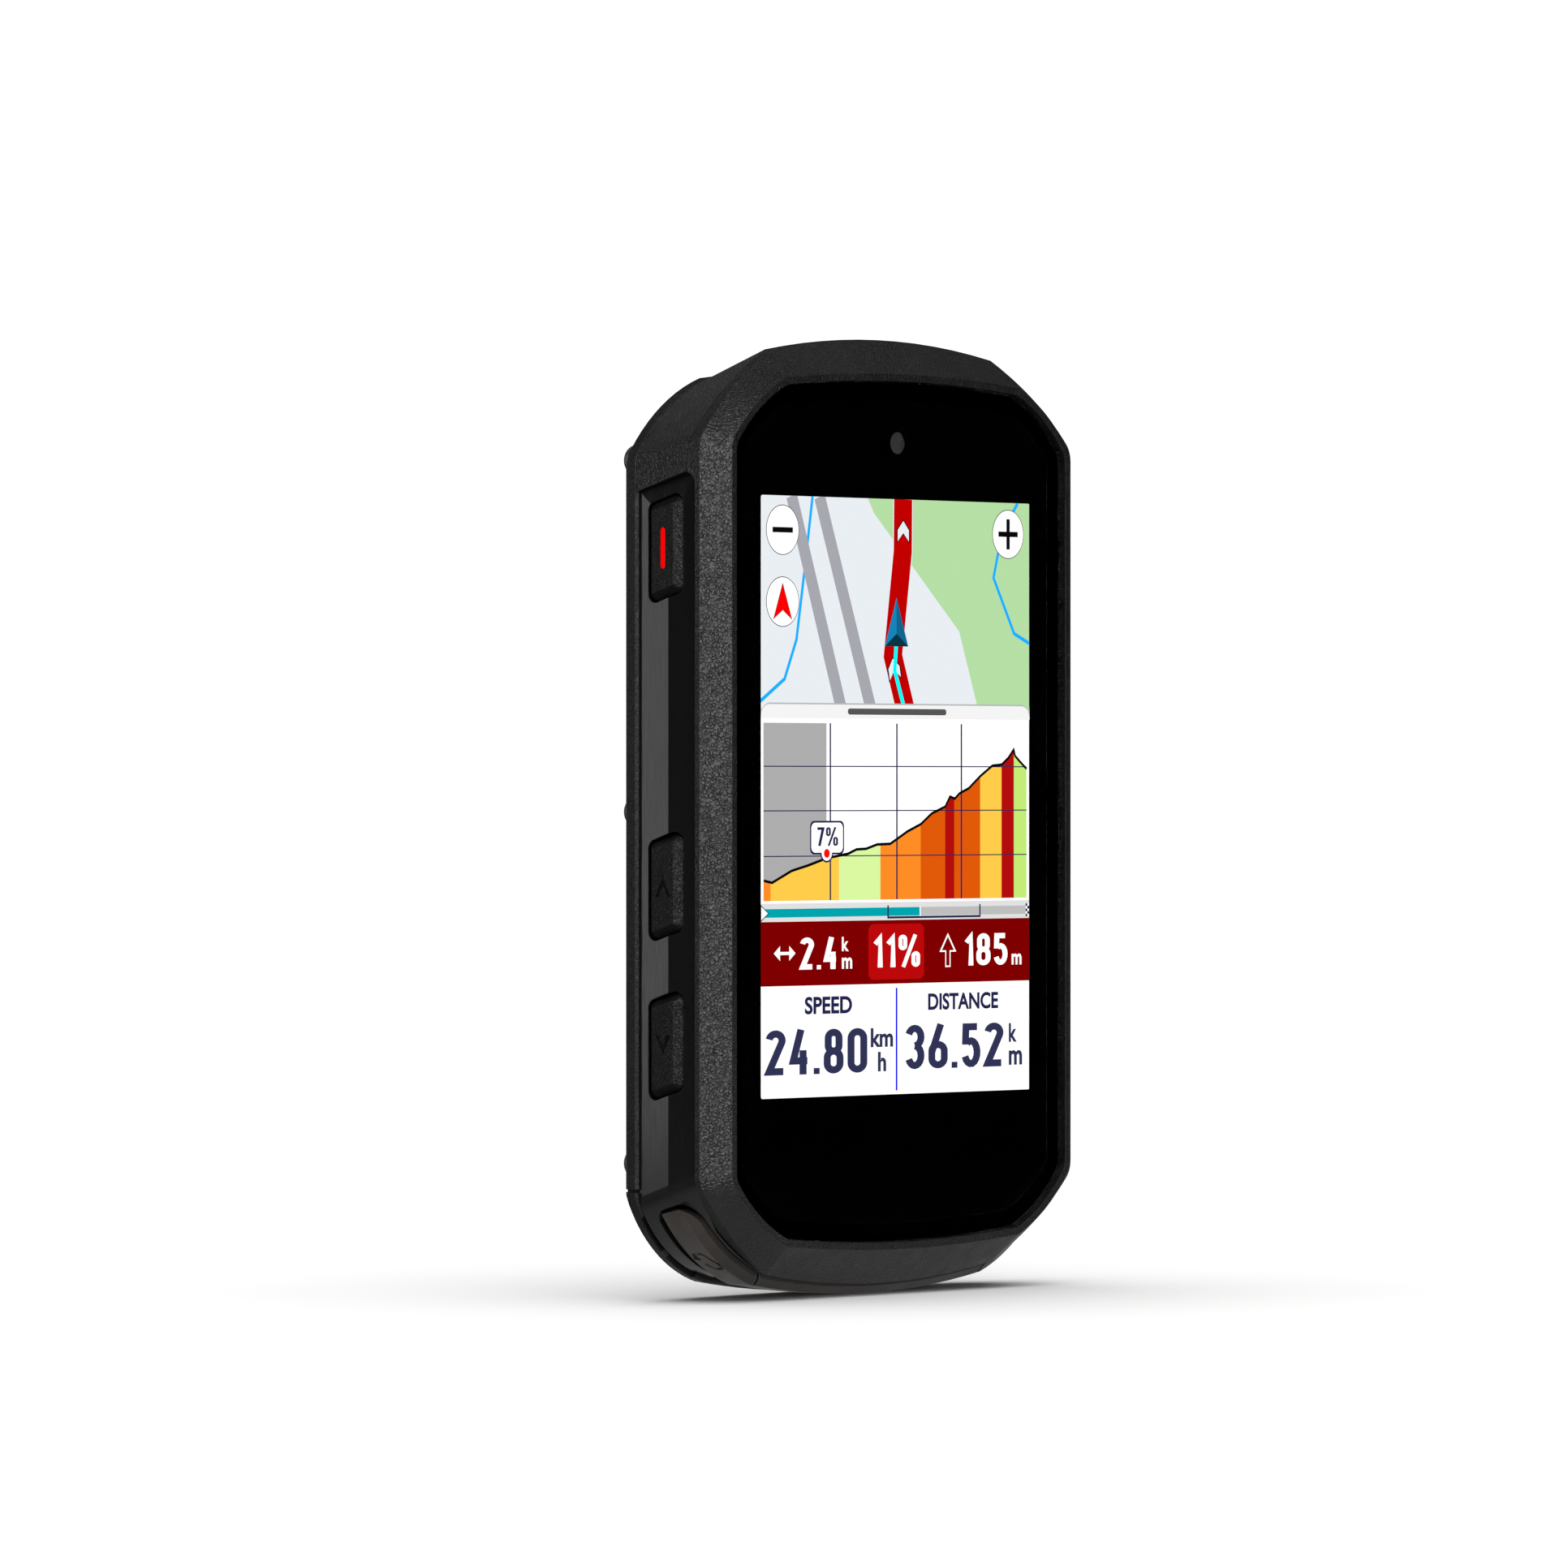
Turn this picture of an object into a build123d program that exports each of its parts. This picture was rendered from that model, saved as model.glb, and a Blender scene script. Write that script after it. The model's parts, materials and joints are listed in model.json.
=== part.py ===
from build123d import *
import os
from math import cos, sin
from typing import NamedTuple

os.makedirs("parts", exist_ok=True)

# A cycling computer, upright: +X is the right side seen from the front, +Y the rear, +Z up.
# The origin is the centre of the quarter-turn puck's rear face. Depths count rearwards
# from the flat lip round the glass, which is the foremost surface.


class End(NamedTuple):
    """One end of a case outline: side's end, corner vertex, apex and the corner arc's bulge."""

    side_z: float
    vertex_x: float
    vertex_z: float
    apex_z: float
    bulge: float


class Outline(NamedTuple):
    """A case outline seen from the front: straight sides, arced corners and arced ends."""

    half_width: float
    top: End
    bottom: End


# Driving depths, mm behind the lip
TOTAL_DEPTH = 17.0
FRAME_SIDE_DEPTH = 2.45
CREST_DEPTH = 3.2
FRAME_BOTTOM_DEPTH = 3.5
FRAME_STEP_TOP_Z, FRAME_STEP_LOW_Z = -35.0, -39.0
RIDGE_DEPTH = 5.85
SEAM_DEPTH = 9.75
CASE_DEPTH = 12.1
FIT = 0.05
GAP = 0.1
ROOT = 0.2
OVERRUN = 1.0
BEYOND = 50.0

# Outlines of the outer skin, front to rear
LIP_END = End(34.3, 16.9, 40.5, 41.3, 0.72)
FLARE_END = End(35.0, 16.45, 43.28, 44.68, 0.66)
CREST_END = End(34.6, 16.4, 43.2, 44.6, 0.66)
REAR_TOP = End(33.0, 16.8, 40.7, 41.8, 1.05)
REAR_BOTTOM = End(36.0, 17.5, 44.05, 45.5, 1.35)
LIP = Outline(24.7, LIP_END, LIP_END)
FLARE = Outline(28.79, FLARE_END, FLARE_END)
CREST = Outline(27.13, CREST_END, CREST_END)
HOOD_REAR = Outline(27.0, REAR_TOP, CREST_END)
REAR = Outline(27.0, REAR_TOP, REAR_BOTTOM)
FRAME_ROOM = Outline(27.0, REAR_TOP, LIP_END)
SIDE_ROUND = 2.5
END_ROUND = 2.0

# Glossy band: a low ridge along each side, hipped at its top end
BAND_FRONT = Outline(26.3, REAR_TOP, End(34.3, 16.4, 42.8, 44.1, 0.9))
BAND_RIDGE = Outline(27.0, REAR_TOP, End(35.4, 16.8, 43.5, 44.8, 1.1))
BAND_REAR = Outline(26.6, REAR_TOP, End(36.5, 17.2, 43.6, 45.0, 1.3))
RIM_FRONT_Z = 31.9
RIM_REAR_Z = 29.8
RIM_ROUND = 1.2
FRAME_SEAM = 0.12
HIP_Z = 26.8
HOOD_WALL = 1.0

# Inner room
CAVITY = Outline(23.9, End(31.5, 15.6, 37.8, 38.7, 0.9), End(33.6, 14.8, 39.4, 40.6, 0.9))
DECK_TOP_Z = -33.6
DECK_FRONT_DEPTH = 8.8
BOSS_R = 1.75
BOSS_FRONT_DEPTH = 5.6

# Glass and display
GLASS_INSET = 0.75
GLASS_POCKET_INSET = 0.68
GLASS_FRONT_DEPTH = 0.3
GLASS_REAR_DEPTH = 0.9
GLASS_BEVEL = 0.12
LEDGE_DEPTH = 1.1
LEDGE_INSET = 2.6
PANEL_W, PANEL_H, PANEL_Z = 42.4, 61.0, 1.0
PANEL_FRONT_DEPTH = 1.0
PANEL_REAR_DEPTH = 2.4
SENSOR_Z = 34.8

# Side keys: slanted tablets on round stems
KEY_DEPTH = 6.4
KEY_W = 4.0
KEY_H = 9.1
KEY_SLANT = 1.2
KEY_FACE_X = 27.2
KEY_THICK = 1.7
KEY_BEVEL = 0.7
KEY_ROUND = 0.8
KEY_GAP = 0.2
POCKET_FLOOR = 2.2
SIDE_WALL = 3.3
KEY_PLACES = {
    "power": (-1, 24.5),
    "up": (-1, -6.9),
    "down": (-1, -21.7),
    "select": (1, -6.9),
    "back": (1, -21.7),
}
TRAVEL = 0.4
MARK_DEPTH = 0.2
CHEVRON = ((-0.95, -1), (0, 1), (0.95, -1), (0.5, -1), (0, 0.05), (-0.5, -1))
RING_R, RING_HOLE_R = 0.95, 0.6
LOOP_CENTRE, LOOP_TURN = (0.2, -0.15), -62
LOOP_L, LOOP_W, LOOP_LINE = 3.2, 1.8, 0.38
LOOP_OPENING = ((-1.6, 0.1), (-0.2, 0.1), (-0.2, -0.5), (-1.6, -0.6))
LOOP_ARROW = ((-0.8, 1.35), (-1.3, 0.15), (-0.3, 0.05))
PLAY_EDGE = ((-0.9, -1.1), (1.0, 0), (-0.9, 1.1))
PLAY_MIDDLE = ((-0.55, -0.55), (0.4, 0), (-0.55, 0.55))
INLAY_W, INLAY_H, INLAY_DEPTH = 0.6, 3.85, 0.4
STEM_R = 0.95
BORE_R = 1.0
STEM_END = 0.75
CLIP_R = 1.7
CLIP_NECK_R = 0.6
CLIP_THICK = 0.35
SEAL_RING_R = 1.25
SEAL_R = 0.28

# Lower keys and the strip between them, in a channel round the bottom
LOWER_FACE = Outline(26.9, CREST_END, End(36.2, 16.8, 44.2, 45.6, 1.1))
LOWER_FRONT_DEPTH = 4.0
LOWER_REAR_DEPTH = 8.2
LOWER_BACK = 1.4
CHANNEL_FLOOR = 1.9
CHANNEL_GAP = 0.15
LOWER_TOP_Z = -36.4
LOWER_TOP_ROOM = 0.37
LOWER_ROUND = 1.4
SEAM_X_FRONT = 16.6
SEAM_X_REAR = 14.9
SEAM_GAP = 0.25
LOWER_KEY_X = 22.53
LOWER_KEY_Z = -41.06
LOWER_NORMAL = (0.606, -0.795)
LOWER_FACE_R = 19.4
LOWER_MARK_DOWN = 1.3
LOWER_WALL = 4.85
LOWER_KEYS = {"lap": -1, "start": 1}
LOWER_CUT = (LOWER_FRONT_DEPTH - OVERRUN, LOWER_REAR_DEPTH + OVERRUN)
LOWER_TOP_BEVEL = 0.8

# Rear cover, weather cap and their hinge
COVER_INNER_DEPTH = 10.5
COVER_BEVEL = 1.1
SEAM_V_DEPTH, SEAM_V_INSET = 0.2, 0.3
COVER_LOW_Z = -35.15
RAIN_LIP_LOW_Z = -35.75
RAIN_LIP_REAR_DEPTH = 11.45
RAIN_LIP_INSET = 0.6
RAIN_LIP_X = 18.3
CAP_TOP_Z = -35.45
HINGE_DEPTH = 11.9
HINGE_Z = -35.4
KNUCKLE_R = 0.7
PIN_R = 0.35
HINGE_REACH = 18.0
HINGE_SPLIT = 11.0
CAP_FRONT_DEPTH = 9.85
CAP_POCKET_DEPTH = 10.9
PORT_Z = -37.7
PORT_W, PORT_H = 8.94, 3.16
PORT_MOUTH_W, PORT_MOUTH_H = 8.34, 2.56

# Screws
REAR_SCREW_X, REAR_SCREW_Z = 24.1, 32.8
REAR_HEAD_R, REAR_HEAD_H, REAR_DOME_R = 1.5, 1.1, 1.0
REAR_SHANK_R = 0.65
REAR_SCREWS = [(side * REAR_SCREW_X, z) for side in (-1, 1) for z in (-REAR_SCREW_Z, 0, REAR_SCREW_Z)]
BRACKET_SCREWS = [(side * 22.6, z) for side in (-1, 1) for z in (-28.5, 28.5)]
BOARD_SCREWS = [(side * 19.8, z) for side in (-1, 1) for z in (-27.0, 22.0)]
POST_R = 1.1
STANDOFF_R = 1.3
SMALL_SCREW_R = 0.5
SMALL_HEAD_R, SMALL_HEAD_H = 1.0, 0.6
SEAL_GROOVE = 0.4
SEAL_LOW_Z = -34.7
SEAL_W = 0.5
SEAL_INSET = 1.3

# Stack of parts inside the case
BRACKET_DEPTH, BRACKET_REAR_DEPTH = 3.7, 4.3
BRACKET_LOW_Z = -32.0
BRACKET_INSET = 0.3
BRACKET_NOTCH_W, BRACKET_NOTCH_H = 18, 7
BRACKET_WINDOWS = ((0, -14), (0, 15))
BRACKET_WINDOW_W, BRACKET_WINDOW_H, BRACKET_WINDOW_R = 30, 18, 3
PANEL_CORNER = 1.0
BACKLIGHT_CHAMFER = 0.3
DISPLAY_FLEX_DEPTH = 2.2
DISPLAY_FLEX_W = 16
DISPLAY_FLEX_LOOP, DISPLAY_FLEX_TAIL = 0.4, 3.0
SENSOR_R = 1.03
SENSOR_BASE_DEPTH, SENSOR_BASE_W, SENSOR_BASE_R = 3.0, 3.0, 0.4
BOARD_DEPTH, BOARD_REAR_DEPTH = 5.4, 6.2
BOARD_LOW_Z = -31.0
BOARD_W = 41.8
BOARD_INSET = 0.6
BATTERY_DEPTH, BATTERY_REAR_DEPTH = 7.4, 10.0
BATTERY_W, BATTERY_H, BATTERY_Z = 36.0, 52.0, -2.0
CAN_H = 1.0
SHEET = 0.2
CANS = ((-9, 11, 15, 17), (9, 10, 13, 19), (0, -14, 22, 16))
CAN_CORNER = 0.8
GNSS_Z, GNSS_W, GNSS_H, GNSS_CORNER = 31.8, 12, 3.4, 0.5
GNSS_PIN_R, GNSS_PIN_H = 0.6, 0.2
ANTENNA_PLACE = (14.5, 29)
ANTENNA_W, ANTENNA_L, ANTENNA_H, ANTENNA_CORNER = 3.2, 8, 1.0, 0.3
PRESSURE_PLACE = (9.5, 28)
PRESSURE_W, PRESSURE_H, PRESSURE_CORNER = 2.5, 0.9, 0.2
PRESSURE_HOLE_R, PRESSURE_HOLE_L = 0.3, 0.4
BUZZER_PLACE = (-13, 30)
BUZZER_R, BUZZER_H = 4.0, 2.2
BUZZER_HOLE_R, BUZZER_HOLE_L = 0.8, 1.0
BATTERY_CORNER, BATTERY_EDGE_R = 2.0, 0.6
PADS_Z = (-19, 15)
PAD_W, PAD_H, PAD_CORNER = 30, 8, 1.0
PORT_BOARD_W, PORT_BOARD_H, PORT_BOARD_CORNER = 14, 4.8, 0.8
PORT_BOARD_REAR_DEPTH = 3.25
PORT_FLOOR_DEPTH = 3.8
PORT_TONGUE_W, PORT_TONGUE_H, PORT_TONGUE_SETBACK = 6.69, 0.7, 0.8
PORT_SEAL_W, PORT_SEAL_H, PORT_SEAL_FIT = 0.8, 0.6, 0.01
FLEX, FLEX_FIT = 0.15, 0.02
SWITCH_W, SWITCH_H, SWITCH_THICK = 3.0, 3.6, 1.0
PLUNGER_R, PLUNGER = 0.6, 0.2
SWITCH_ROWS = {
    "left": (("power", "up", "down"), 1.4, 52),
    "right": (("select", "back"), -14.3, 20),
}
LOWER_FLEX_H = 5

COVER_DEPTH = SEAM_DEPTH + FIT
DECK_FACE_DEPTH = SEAM_DEPTH - FIT
CAP_RIM = 1.5
PORT_PLUG_ROOM = 1.0
NOTCH_DEPTH, NOTCH_L = 0.4, 4.2
NOTCH_PLACES = ((0, 2.6), (0, -2.4))
VENT_R, MEMBRANE_R = 0.5, 2.0
PIN_CHAMFER = 0.1

# Quarter-turn puck
PUCK_SCREWS = [(0, 8.0), (8.0, 0), (0, -8.0), (-8.0, 0)]
PUCK_HEAD_R, PUCK_HEAD_H, PUCK_SHANK_R = 1.9, 1.2, 0.9
PUCK_BASE_R, PUCK_BASE_H = 14.0, 1.1
PUCK_NECK_R = 12.8
PUCK_TAB_R = 15.3
PUCK_TAB_FRONT, PUCK_TAB_REAR = 15.1, 16.7
PUCK_TAB_W = 15.0
PUCK_BASE_CHAMFER, PUCK_NECK_CHAMFER, PUCK_HEAD_CHAMFER = 0.4, 0.3, 0.2
PUCK_HEX_R, PUCK_HEX_DEPTH = 0.8, 0.8
REAR_HEX_R, REAR_HEX_DEPTH = 0.4, 0.5
REAR_SCREW_FRONT_DEPTH = 6.8


def depth_plane(depth):
    """The plane at one depth, drawn as seen from the front; extrusions run forwards."""
    return Plane.XZ.offset(TOTAL_DEPTH - depth)


def row_y(depth):
    return depth - TOTAL_DEPTH


def case_face(shape, inset=0.0):
    """A case outline as a face, pulled in by inset."""
    width = shape.half_width
    with BuildSketch(mode=Mode.PRIVATE) as case:
        with BuildLine():
            for side in (-1, 1):
                Line((side * width, -shape.bottom.side_z), (side * width, shape.top.side_z))
            for end, up in ((shape.top, 1), (shape.bottom, -1)):
                vertex_z = up * end.vertex_z
                for side in (-1, 1):
                    SagittaArc(
                        (side * width, up * end.side_z),
                        (side * end.vertex_x, vertex_z),
                        -side * up * end.bulge,
                    )
                ThreePointArc((-end.vertex_x, vertex_z), (0, up * end.apex_z), (end.vertex_x, vertex_z))
        make_face()
        sides = case.vertices().filter_by(lambda v: abs(v.X) > width - 0.01)
        ends = case.vertices().filter_by(lambda v: abs(v.X) <= width - 0.01)
        fillet(sides, SIDE_ROUND)
        fillet(ends, END_ROUND)
        if inset:
            offset(amount=-inset)
    return case.sketch.face()


def slab(shape, front, rear, inset=0.0, mode=Mode.ADD):
    """Extrudes a case outline between two depths in the current part."""
    with BuildSketch(depth_plane(rear)) as section:
        add(case_face(shape, inset))
    extrude(section.sketch, amount=rear - front, mode=mode)


def skin(*sections):
    """A ruled skin through (depth, outline, inset) sections in the current part."""
    faces = [depth_plane(depth).location * case_face(shape, inset) for depth, shape, inset in sections]
    loft(faces, ruled=True)


def polygon(*points):
    """A straight-sided outline as a face."""
    with BuildSketch(mode=Mode.PRIVATE) as shape:
        with BuildLine():
            Polyline(*points, close=True)
        make_face()
    return shape.sketch.face()


def discs(centres, radius, front, rear, mode=Mode.ADD):
    """Round bosses, holes or shanks between two depths in the current part."""
    with BuildSketch(depth_plane(rear)) as section:
        with Locations(*centres):
            Circle(radius)
    extrude(section.sketch, amount=rear - front, mode=mode)


def block(centre, size, front, rear, corner=0.0, mode=Mode.ADD):
    """A board-like block between two depths in the current part, its corners rounded."""
    with BuildSketch(depth_plane(rear)) as section:
        with Locations(centre):
            RectangleRounded(*size, corner) if corner else Rectangle(*size)
    extrude(section.sketch, amount=rear - front, mode=mode)


def case_above(shape, inset, low):
    """A case outline as a face, cut off level below low."""
    with BuildSketch(mode=Mode.PRIVATE) as upper:
        add(case_face(shape, inset))
        with Locations((0, low)):
            Rectangle(2 * BEYOND, 2 * BEYOND, align=(Align.CENTER, Align.MIN), mode=Mode.INTERSECT)
    return upper.sketch.face()


def seal_path():
    """The case seal's loop: round the case and level above the weather cap."""
    outer = case_above(FRAME_ROOM, SEAL_INSET, SEAL_LOW_Z)
    return outer - case_above(FRAME_ROOM, SEAL_INSET + SEAL_W, SEAL_LOW_Z + SEAL_W)


def between_seams(gap, side):
    """Seen from above, the room between the bottom strip's seams; one side only for a key."""
    near, far = row_y(LOWER_FRONT_DEPTH - OVERRUN), row_y(LOWER_REAR_DEPTH + OVERRUN)
    left = [(-SEAM_X_FRONT - gap, near), (-SEAM_X_REAR - gap, far)]
    right = [(SEAM_X_REAR + gap, far), (SEAM_X_FRONT + gap, near)]
    if side < 0:
        right = [(BEYOND, far), (BEYOND, near)]
    if side > 0:
        left = [(-BEYOND, near), (-BEYOND, far)]
    return polygon(*left, *right)


def chevron(turn=0):
    """An engraved arrow head, pointing up before it is turned."""
    with BuildSketch(mode=Mode.PRIVATE) as mark:
        add(polygon(*CHEVRON), rotation=turn)
    return mark.sketch


def ring_mark():
    """An engraved ring, for select."""
    with BuildSketch(mode=Mode.PRIVATE) as mark:
        Circle(RING_R)
        Circle(RING_HOLE_R, mode=Mode.SUBTRACT)
    return mark.sketch


def loop_mark():
    """An engraved open loop with an arrow head at its end, for lap."""
    with BuildSketch(mode=Mode.PRIVATE) as mark:
        with Locations(LOOP_CENTRE):
            SlotOverall(LOOP_L, LOOP_W, rotation=LOOP_TURN)
            inner = (LOOP_L - 2 * LOOP_LINE, LOOP_W - 2 * LOOP_LINE)
            SlotOverall(*inner, rotation=LOOP_TURN, mode=Mode.SUBTRACT)
        add(polygon(*LOOP_OPENING), mode=Mode.SUBTRACT)
        add(polygon(*LOOP_ARROW))
    return mark.sketch


def play_mark():
    """An engraved triangle, for start."""
    with BuildSketch(mode=Mode.PRIVATE) as mark:
        add(polygon(*PLAY_EDGE))
        add(polygon(*PLAY_MIDDLE), mode=Mode.SUBTRACT)
    return mark.sketch


def side_prism(points, mode=Mode.ADD, rounded=(), radius=0.0):
    """Extrudes a (depth, z) outline across the whole width; some corners may be rounded."""
    with BuildSketch(Plane.YZ) as profile:
        with BuildLine():
            Polyline([(row_y(depth), z) for depth, z in points], close=True)
        make_face()
        for depth, z in rounded:
            corner = profile.vertices().sort_by_distance((row_y(depth), z, 0))[0]
            fillet(corner, radius)
    extrude(profile.sketch, amount=CREST.half_width * 2, both=True, mode=mode)


def behind_frame(gap=0.0):
    """Outline, in depth and z, of the room behind the frame's rear edge and under its hood."""
    side = FRAME_SIDE_DEPTH + gap
    bottom = FRAME_BOTTOM_DEPTH + gap
    far = CASE_DEPTH
    slope = (RIM_REAR_Z - RIM_FRONT_Z) / (SEAM_DEPTH - FRAME_SIDE_DEPTH)
    rim = RIM_FRONT_Z - gap
    return [
        (side, rim),
        (far, rim + slope * (far - side)),
        (far, -BEYOND),
        (bottom, -BEYOND),
        (bottom, FRAME_STEP_LOW_Z),
        (side, FRAME_STEP_TOP_Z),
    ]


def key_plane(side, z):
    """On a side key's outer face, its normal pointing out of the case."""
    return Plane(
        origin=(side * KEY_FACE_X, row_y(KEY_DEPTH), z), x_dir=(0, side, 0), z_dir=(side, 0, 0)
    )


def lower_plane(side, down=0.0):
    """On a lower key's curved outer face, at its middle or further down, its normal outwards."""
    depth = (LOWER_FRONT_DEPTH + LOWER_REAR_DEPTH) / 2
    out, drop = LOWER_NORMAL
    turn = down / LOWER_FACE_R
    normal_x = out * cos(turn) + drop * sin(turn)
    normal_z = drop * cos(turn) - out * sin(turn)
    x = LOWER_KEY_X + LOWER_FACE_R * (normal_x - out)
    z = LOWER_KEY_Z + LOWER_FACE_R * (normal_z - drop)
    return Plane(
        origin=(side * x, row_y(depth), z),
        x_dir=(0, side, 0),
        z_dir=(side * normal_x, 0, normal_z),
    )


def key_tablet(side, grow=0.0):
    """A side key's slanted outline as a face, rear end lower, grown by a gap."""
    half_w, half_h, lean = KEY_W / 2, KEY_H / 2, KEY_SLANT / 2
    with BuildSketch(mode=Mode.PRIVATE) as tablet:
        with BuildLine():
            Polyline(
                (-side * half_w, half_h + lean),
                (side * half_w, half_h - lean),
                (side * half_w, -half_h - lean),
                (-side * half_w, -half_h + lean),
                close=True,
            )
        make_face()
        fillet(tablet.vertices(), KEY_ROUND)
        if grow:
            offset(amount=grow)
    return tablet.sketch.face()


def stem(plane, back, wall):
    """A key's stem with the groove for its clip, in the current part."""
    with BuildSketch(plane.offset(-back + ROOT)) as rod:
        Circle(STEM_R)
    extrude(rod.sketch, amount=-(wall + STEM_END - back + ROOT))
    with BuildSketch(plane.offset(-wall - FIT)) as groove:
        Circle(STEM_R)
        Circle(CLIP_NECK_R, mode=Mode.SUBTRACT)
    extrude(groove.sketch, amount=-CLIP_THICK, mode=Mode.SUBTRACT)


def stem_bore(plane, floor, wall):
    """The bore of a key's stem with the seat of its seal, cut from the current part."""
    mouth = plane.offset(-floor + ROOT)
    for radius, length in ((BORE_R, wall - floor + ROOT), (SEAL_RING_R + SEAL_R + FIT, 2 * SEAL_R)):
        with BuildSketch(mouth) as hole:
            Circle(radius)
        extrude(hole.sketch, amount=-(length + ROOT), mode=Mode.SUBTRACT)


def hinge_bar(radius, reach, web=None, mode=Mode.ADD):
    """Round bars on the hinge's axis between two distances from the middle, each side of it.

    A web joins them to the cover, with Align.MIN, or to the cap, with Align.MAX.
    """
    near, far = reach
    for side in (-1, 1):
        with BuildSketch(Plane.YZ.offset(side * near)) as section:
            with Locations((row_y(HINGE_DEPTH), HINGE_Z)):
                Circle(radius)
            if web:
                with Locations((row_y(CASE_DEPTH), HINGE_Z)):
                    Rectangle(radius, radius, align=(Align.MAX, web))
        extrude(section.sketch, amount=side * (far - near), mode=mode)


def rain_lip(grow=0.0):
    """The cover's lip behind the seam of the weather cap as a face, grown by a gap."""
    inset = RAIN_LIP_INSET - grow
    with BuildSketch(mode=Mode.PRIVATE) as lip:
        add(case_above(REAR, inset, RAIN_LIP_LOW_Z - grow))
        add(case_above(REAR, inset, COVER_LOW_Z), mode=Mode.SUBTRACT)
        Rectangle(2 * (RAIN_LIP_X - grow), 2 * BEYOND, mode=Mode.SUBTRACT)
    return lip.sketch


def switch_front(wall):
    """Distance from a key's face to its switch's body, just clear of the pressed stem."""
    return wall + STEM_END + TRAVEL + FIT + PLUNGER


def key_switch(plane, wall):
    """A key's switch: a body and the plunger in front of it."""
    front = switch_front(wall)
    with BuildSketch(plane.offset(-front)) as plunger:
        Circle(PLUNGER_R)
    extrude(plunger.sketch, amount=PLUNGER)
    with BuildSketch(plane.offset(-front - SWITCH_THICK)) as body:
        Rectangle(SWITCH_W, SWITCH_H)
    extrude(body.sketch, amount=SWITCH_THICK)


def key_flex(plane, wall, height):
    """The flexible circuit behind a key's switch."""
    with BuildSketch(plane.offset(-switch_front(wall) - SWITCH_THICK - FLEX)) as section:
        Rectangle(SWITCH_W, height)
    extrude(section.sketch, amount=FLEX)


def keep(builder, name):
    """Labels a finished sub-part and writes it."""
    builder.part.label = name
    export_step(builder.part, f"parts/{name}.step")


KEY_MARKS = {
    "up": chevron,
    "down": lambda: chevron(180),
    "select": ring_mark,
    "back": lambda: chevron(90),
    "lap": loop_mark,
    "start": play_mark,
}

# Every key's plane and the distances from its face to its back, its floor and the wall's inside
KEYS = {
    name: (key_plane(side, z), KEY_THICK, POCKET_FLOOR, SIDE_WALL)
    for name, (side, z) in KEY_PLACES.items()
}
KEYS |= {
    name: (lower_plane(side), LOWER_BACK, CHANNEL_FLOOR, LOWER_WALL)
    for name, side in LOWER_KEYS.items()
}

# Front frame: lip, chamfer and the hood over the top of the case
with BuildPart() as front_frame:
    skin((0, LIP, 0), (CREST_DEPTH, FLARE, 0))
    slab(CREST, 0, CREST_DEPTH, mode=Mode.INTERSECT)
    skin((CREST_DEPTH, CREST, 0), (SEAM_DEPTH, HOOD_REAR, 0))
    rim_corner = (FRAME_SIDE_DEPTH, RIM_FRONT_Z)
    side_prism(behind_frame(), mode=Mode.SUBTRACT, rounded=[rim_corner], radius=RIM_ROUND)
    slab(LIP, -OVERRUN, LEDGE_DEPTH, inset=GLASS_POCKET_INSET, mode=Mode.SUBTRACT)
    slab(LIP, LEDGE_DEPTH, FRAME_SIDE_DEPTH, inset=LEDGE_INSET, mode=Mode.SUBTRACT)
    slab(FRAME_ROOM, FRAME_SIDE_DEPTH, SEAM_DEPTH, inset=HOOD_WALL, mode=Mode.SUBTRACT)
    discs(BRACKET_SCREWS, POST_R, LEDGE_DEPTH, BRACKET_DEPTH)
    discs(BRACKET_SCREWS, SMALL_SCREW_R, FRAME_SIDE_DEPTH, BRACKET_DEPTH, mode=Mode.SUBTRACT)
keep(front_frame, "front_frame")

# Mid band: the case's ring, faceted where it shows, with pockets and bores for the keys
hip_low = Vector(BAND_RIDGE.half_width, row_y(RIDGE_DEPTH), HIP_Z)
hip_front = Vector(BAND_FRONT.half_width, row_y(FRAME_SIDE_DEPTH), RIM_FRONT_Z)
hip_rear = Vector(BAND_REAR.half_width, row_y(SEAM_DEPTH), RIM_REAR_Z)
hip_edge = hip_rear - hip_front
HIP_PLANE = Plane(origin=hip_low, x_dir=hip_edge, z_dir=hip_edge.cross(hip_low - hip_front))

with BuildPart() as lower_channel:
    channel_front, channel_rear = LOWER_FRONT_DEPTH - CHANNEL_GAP, LOWER_REAR_DEPTH + CHANNEL_GAP
    channel_top = [
        (channel_front, LOWER_TOP_Z + LOWER_TOP_ROOM),
        (channel_rear, LOWER_TOP_Z + LOWER_TOP_ROOM - KEY_SLANT),
    ]
    foot = ((channel_rear, -BEYOND), (channel_front, -BEYOND))
    side_prism((*channel_top, *foot), rounded=channel_top, radius=LOWER_ROUND)
    slab(LOWER_FACE, *LOWER_CUT, inset=CHANNEL_FLOOR, mode=Mode.SUBTRACT)

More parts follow.
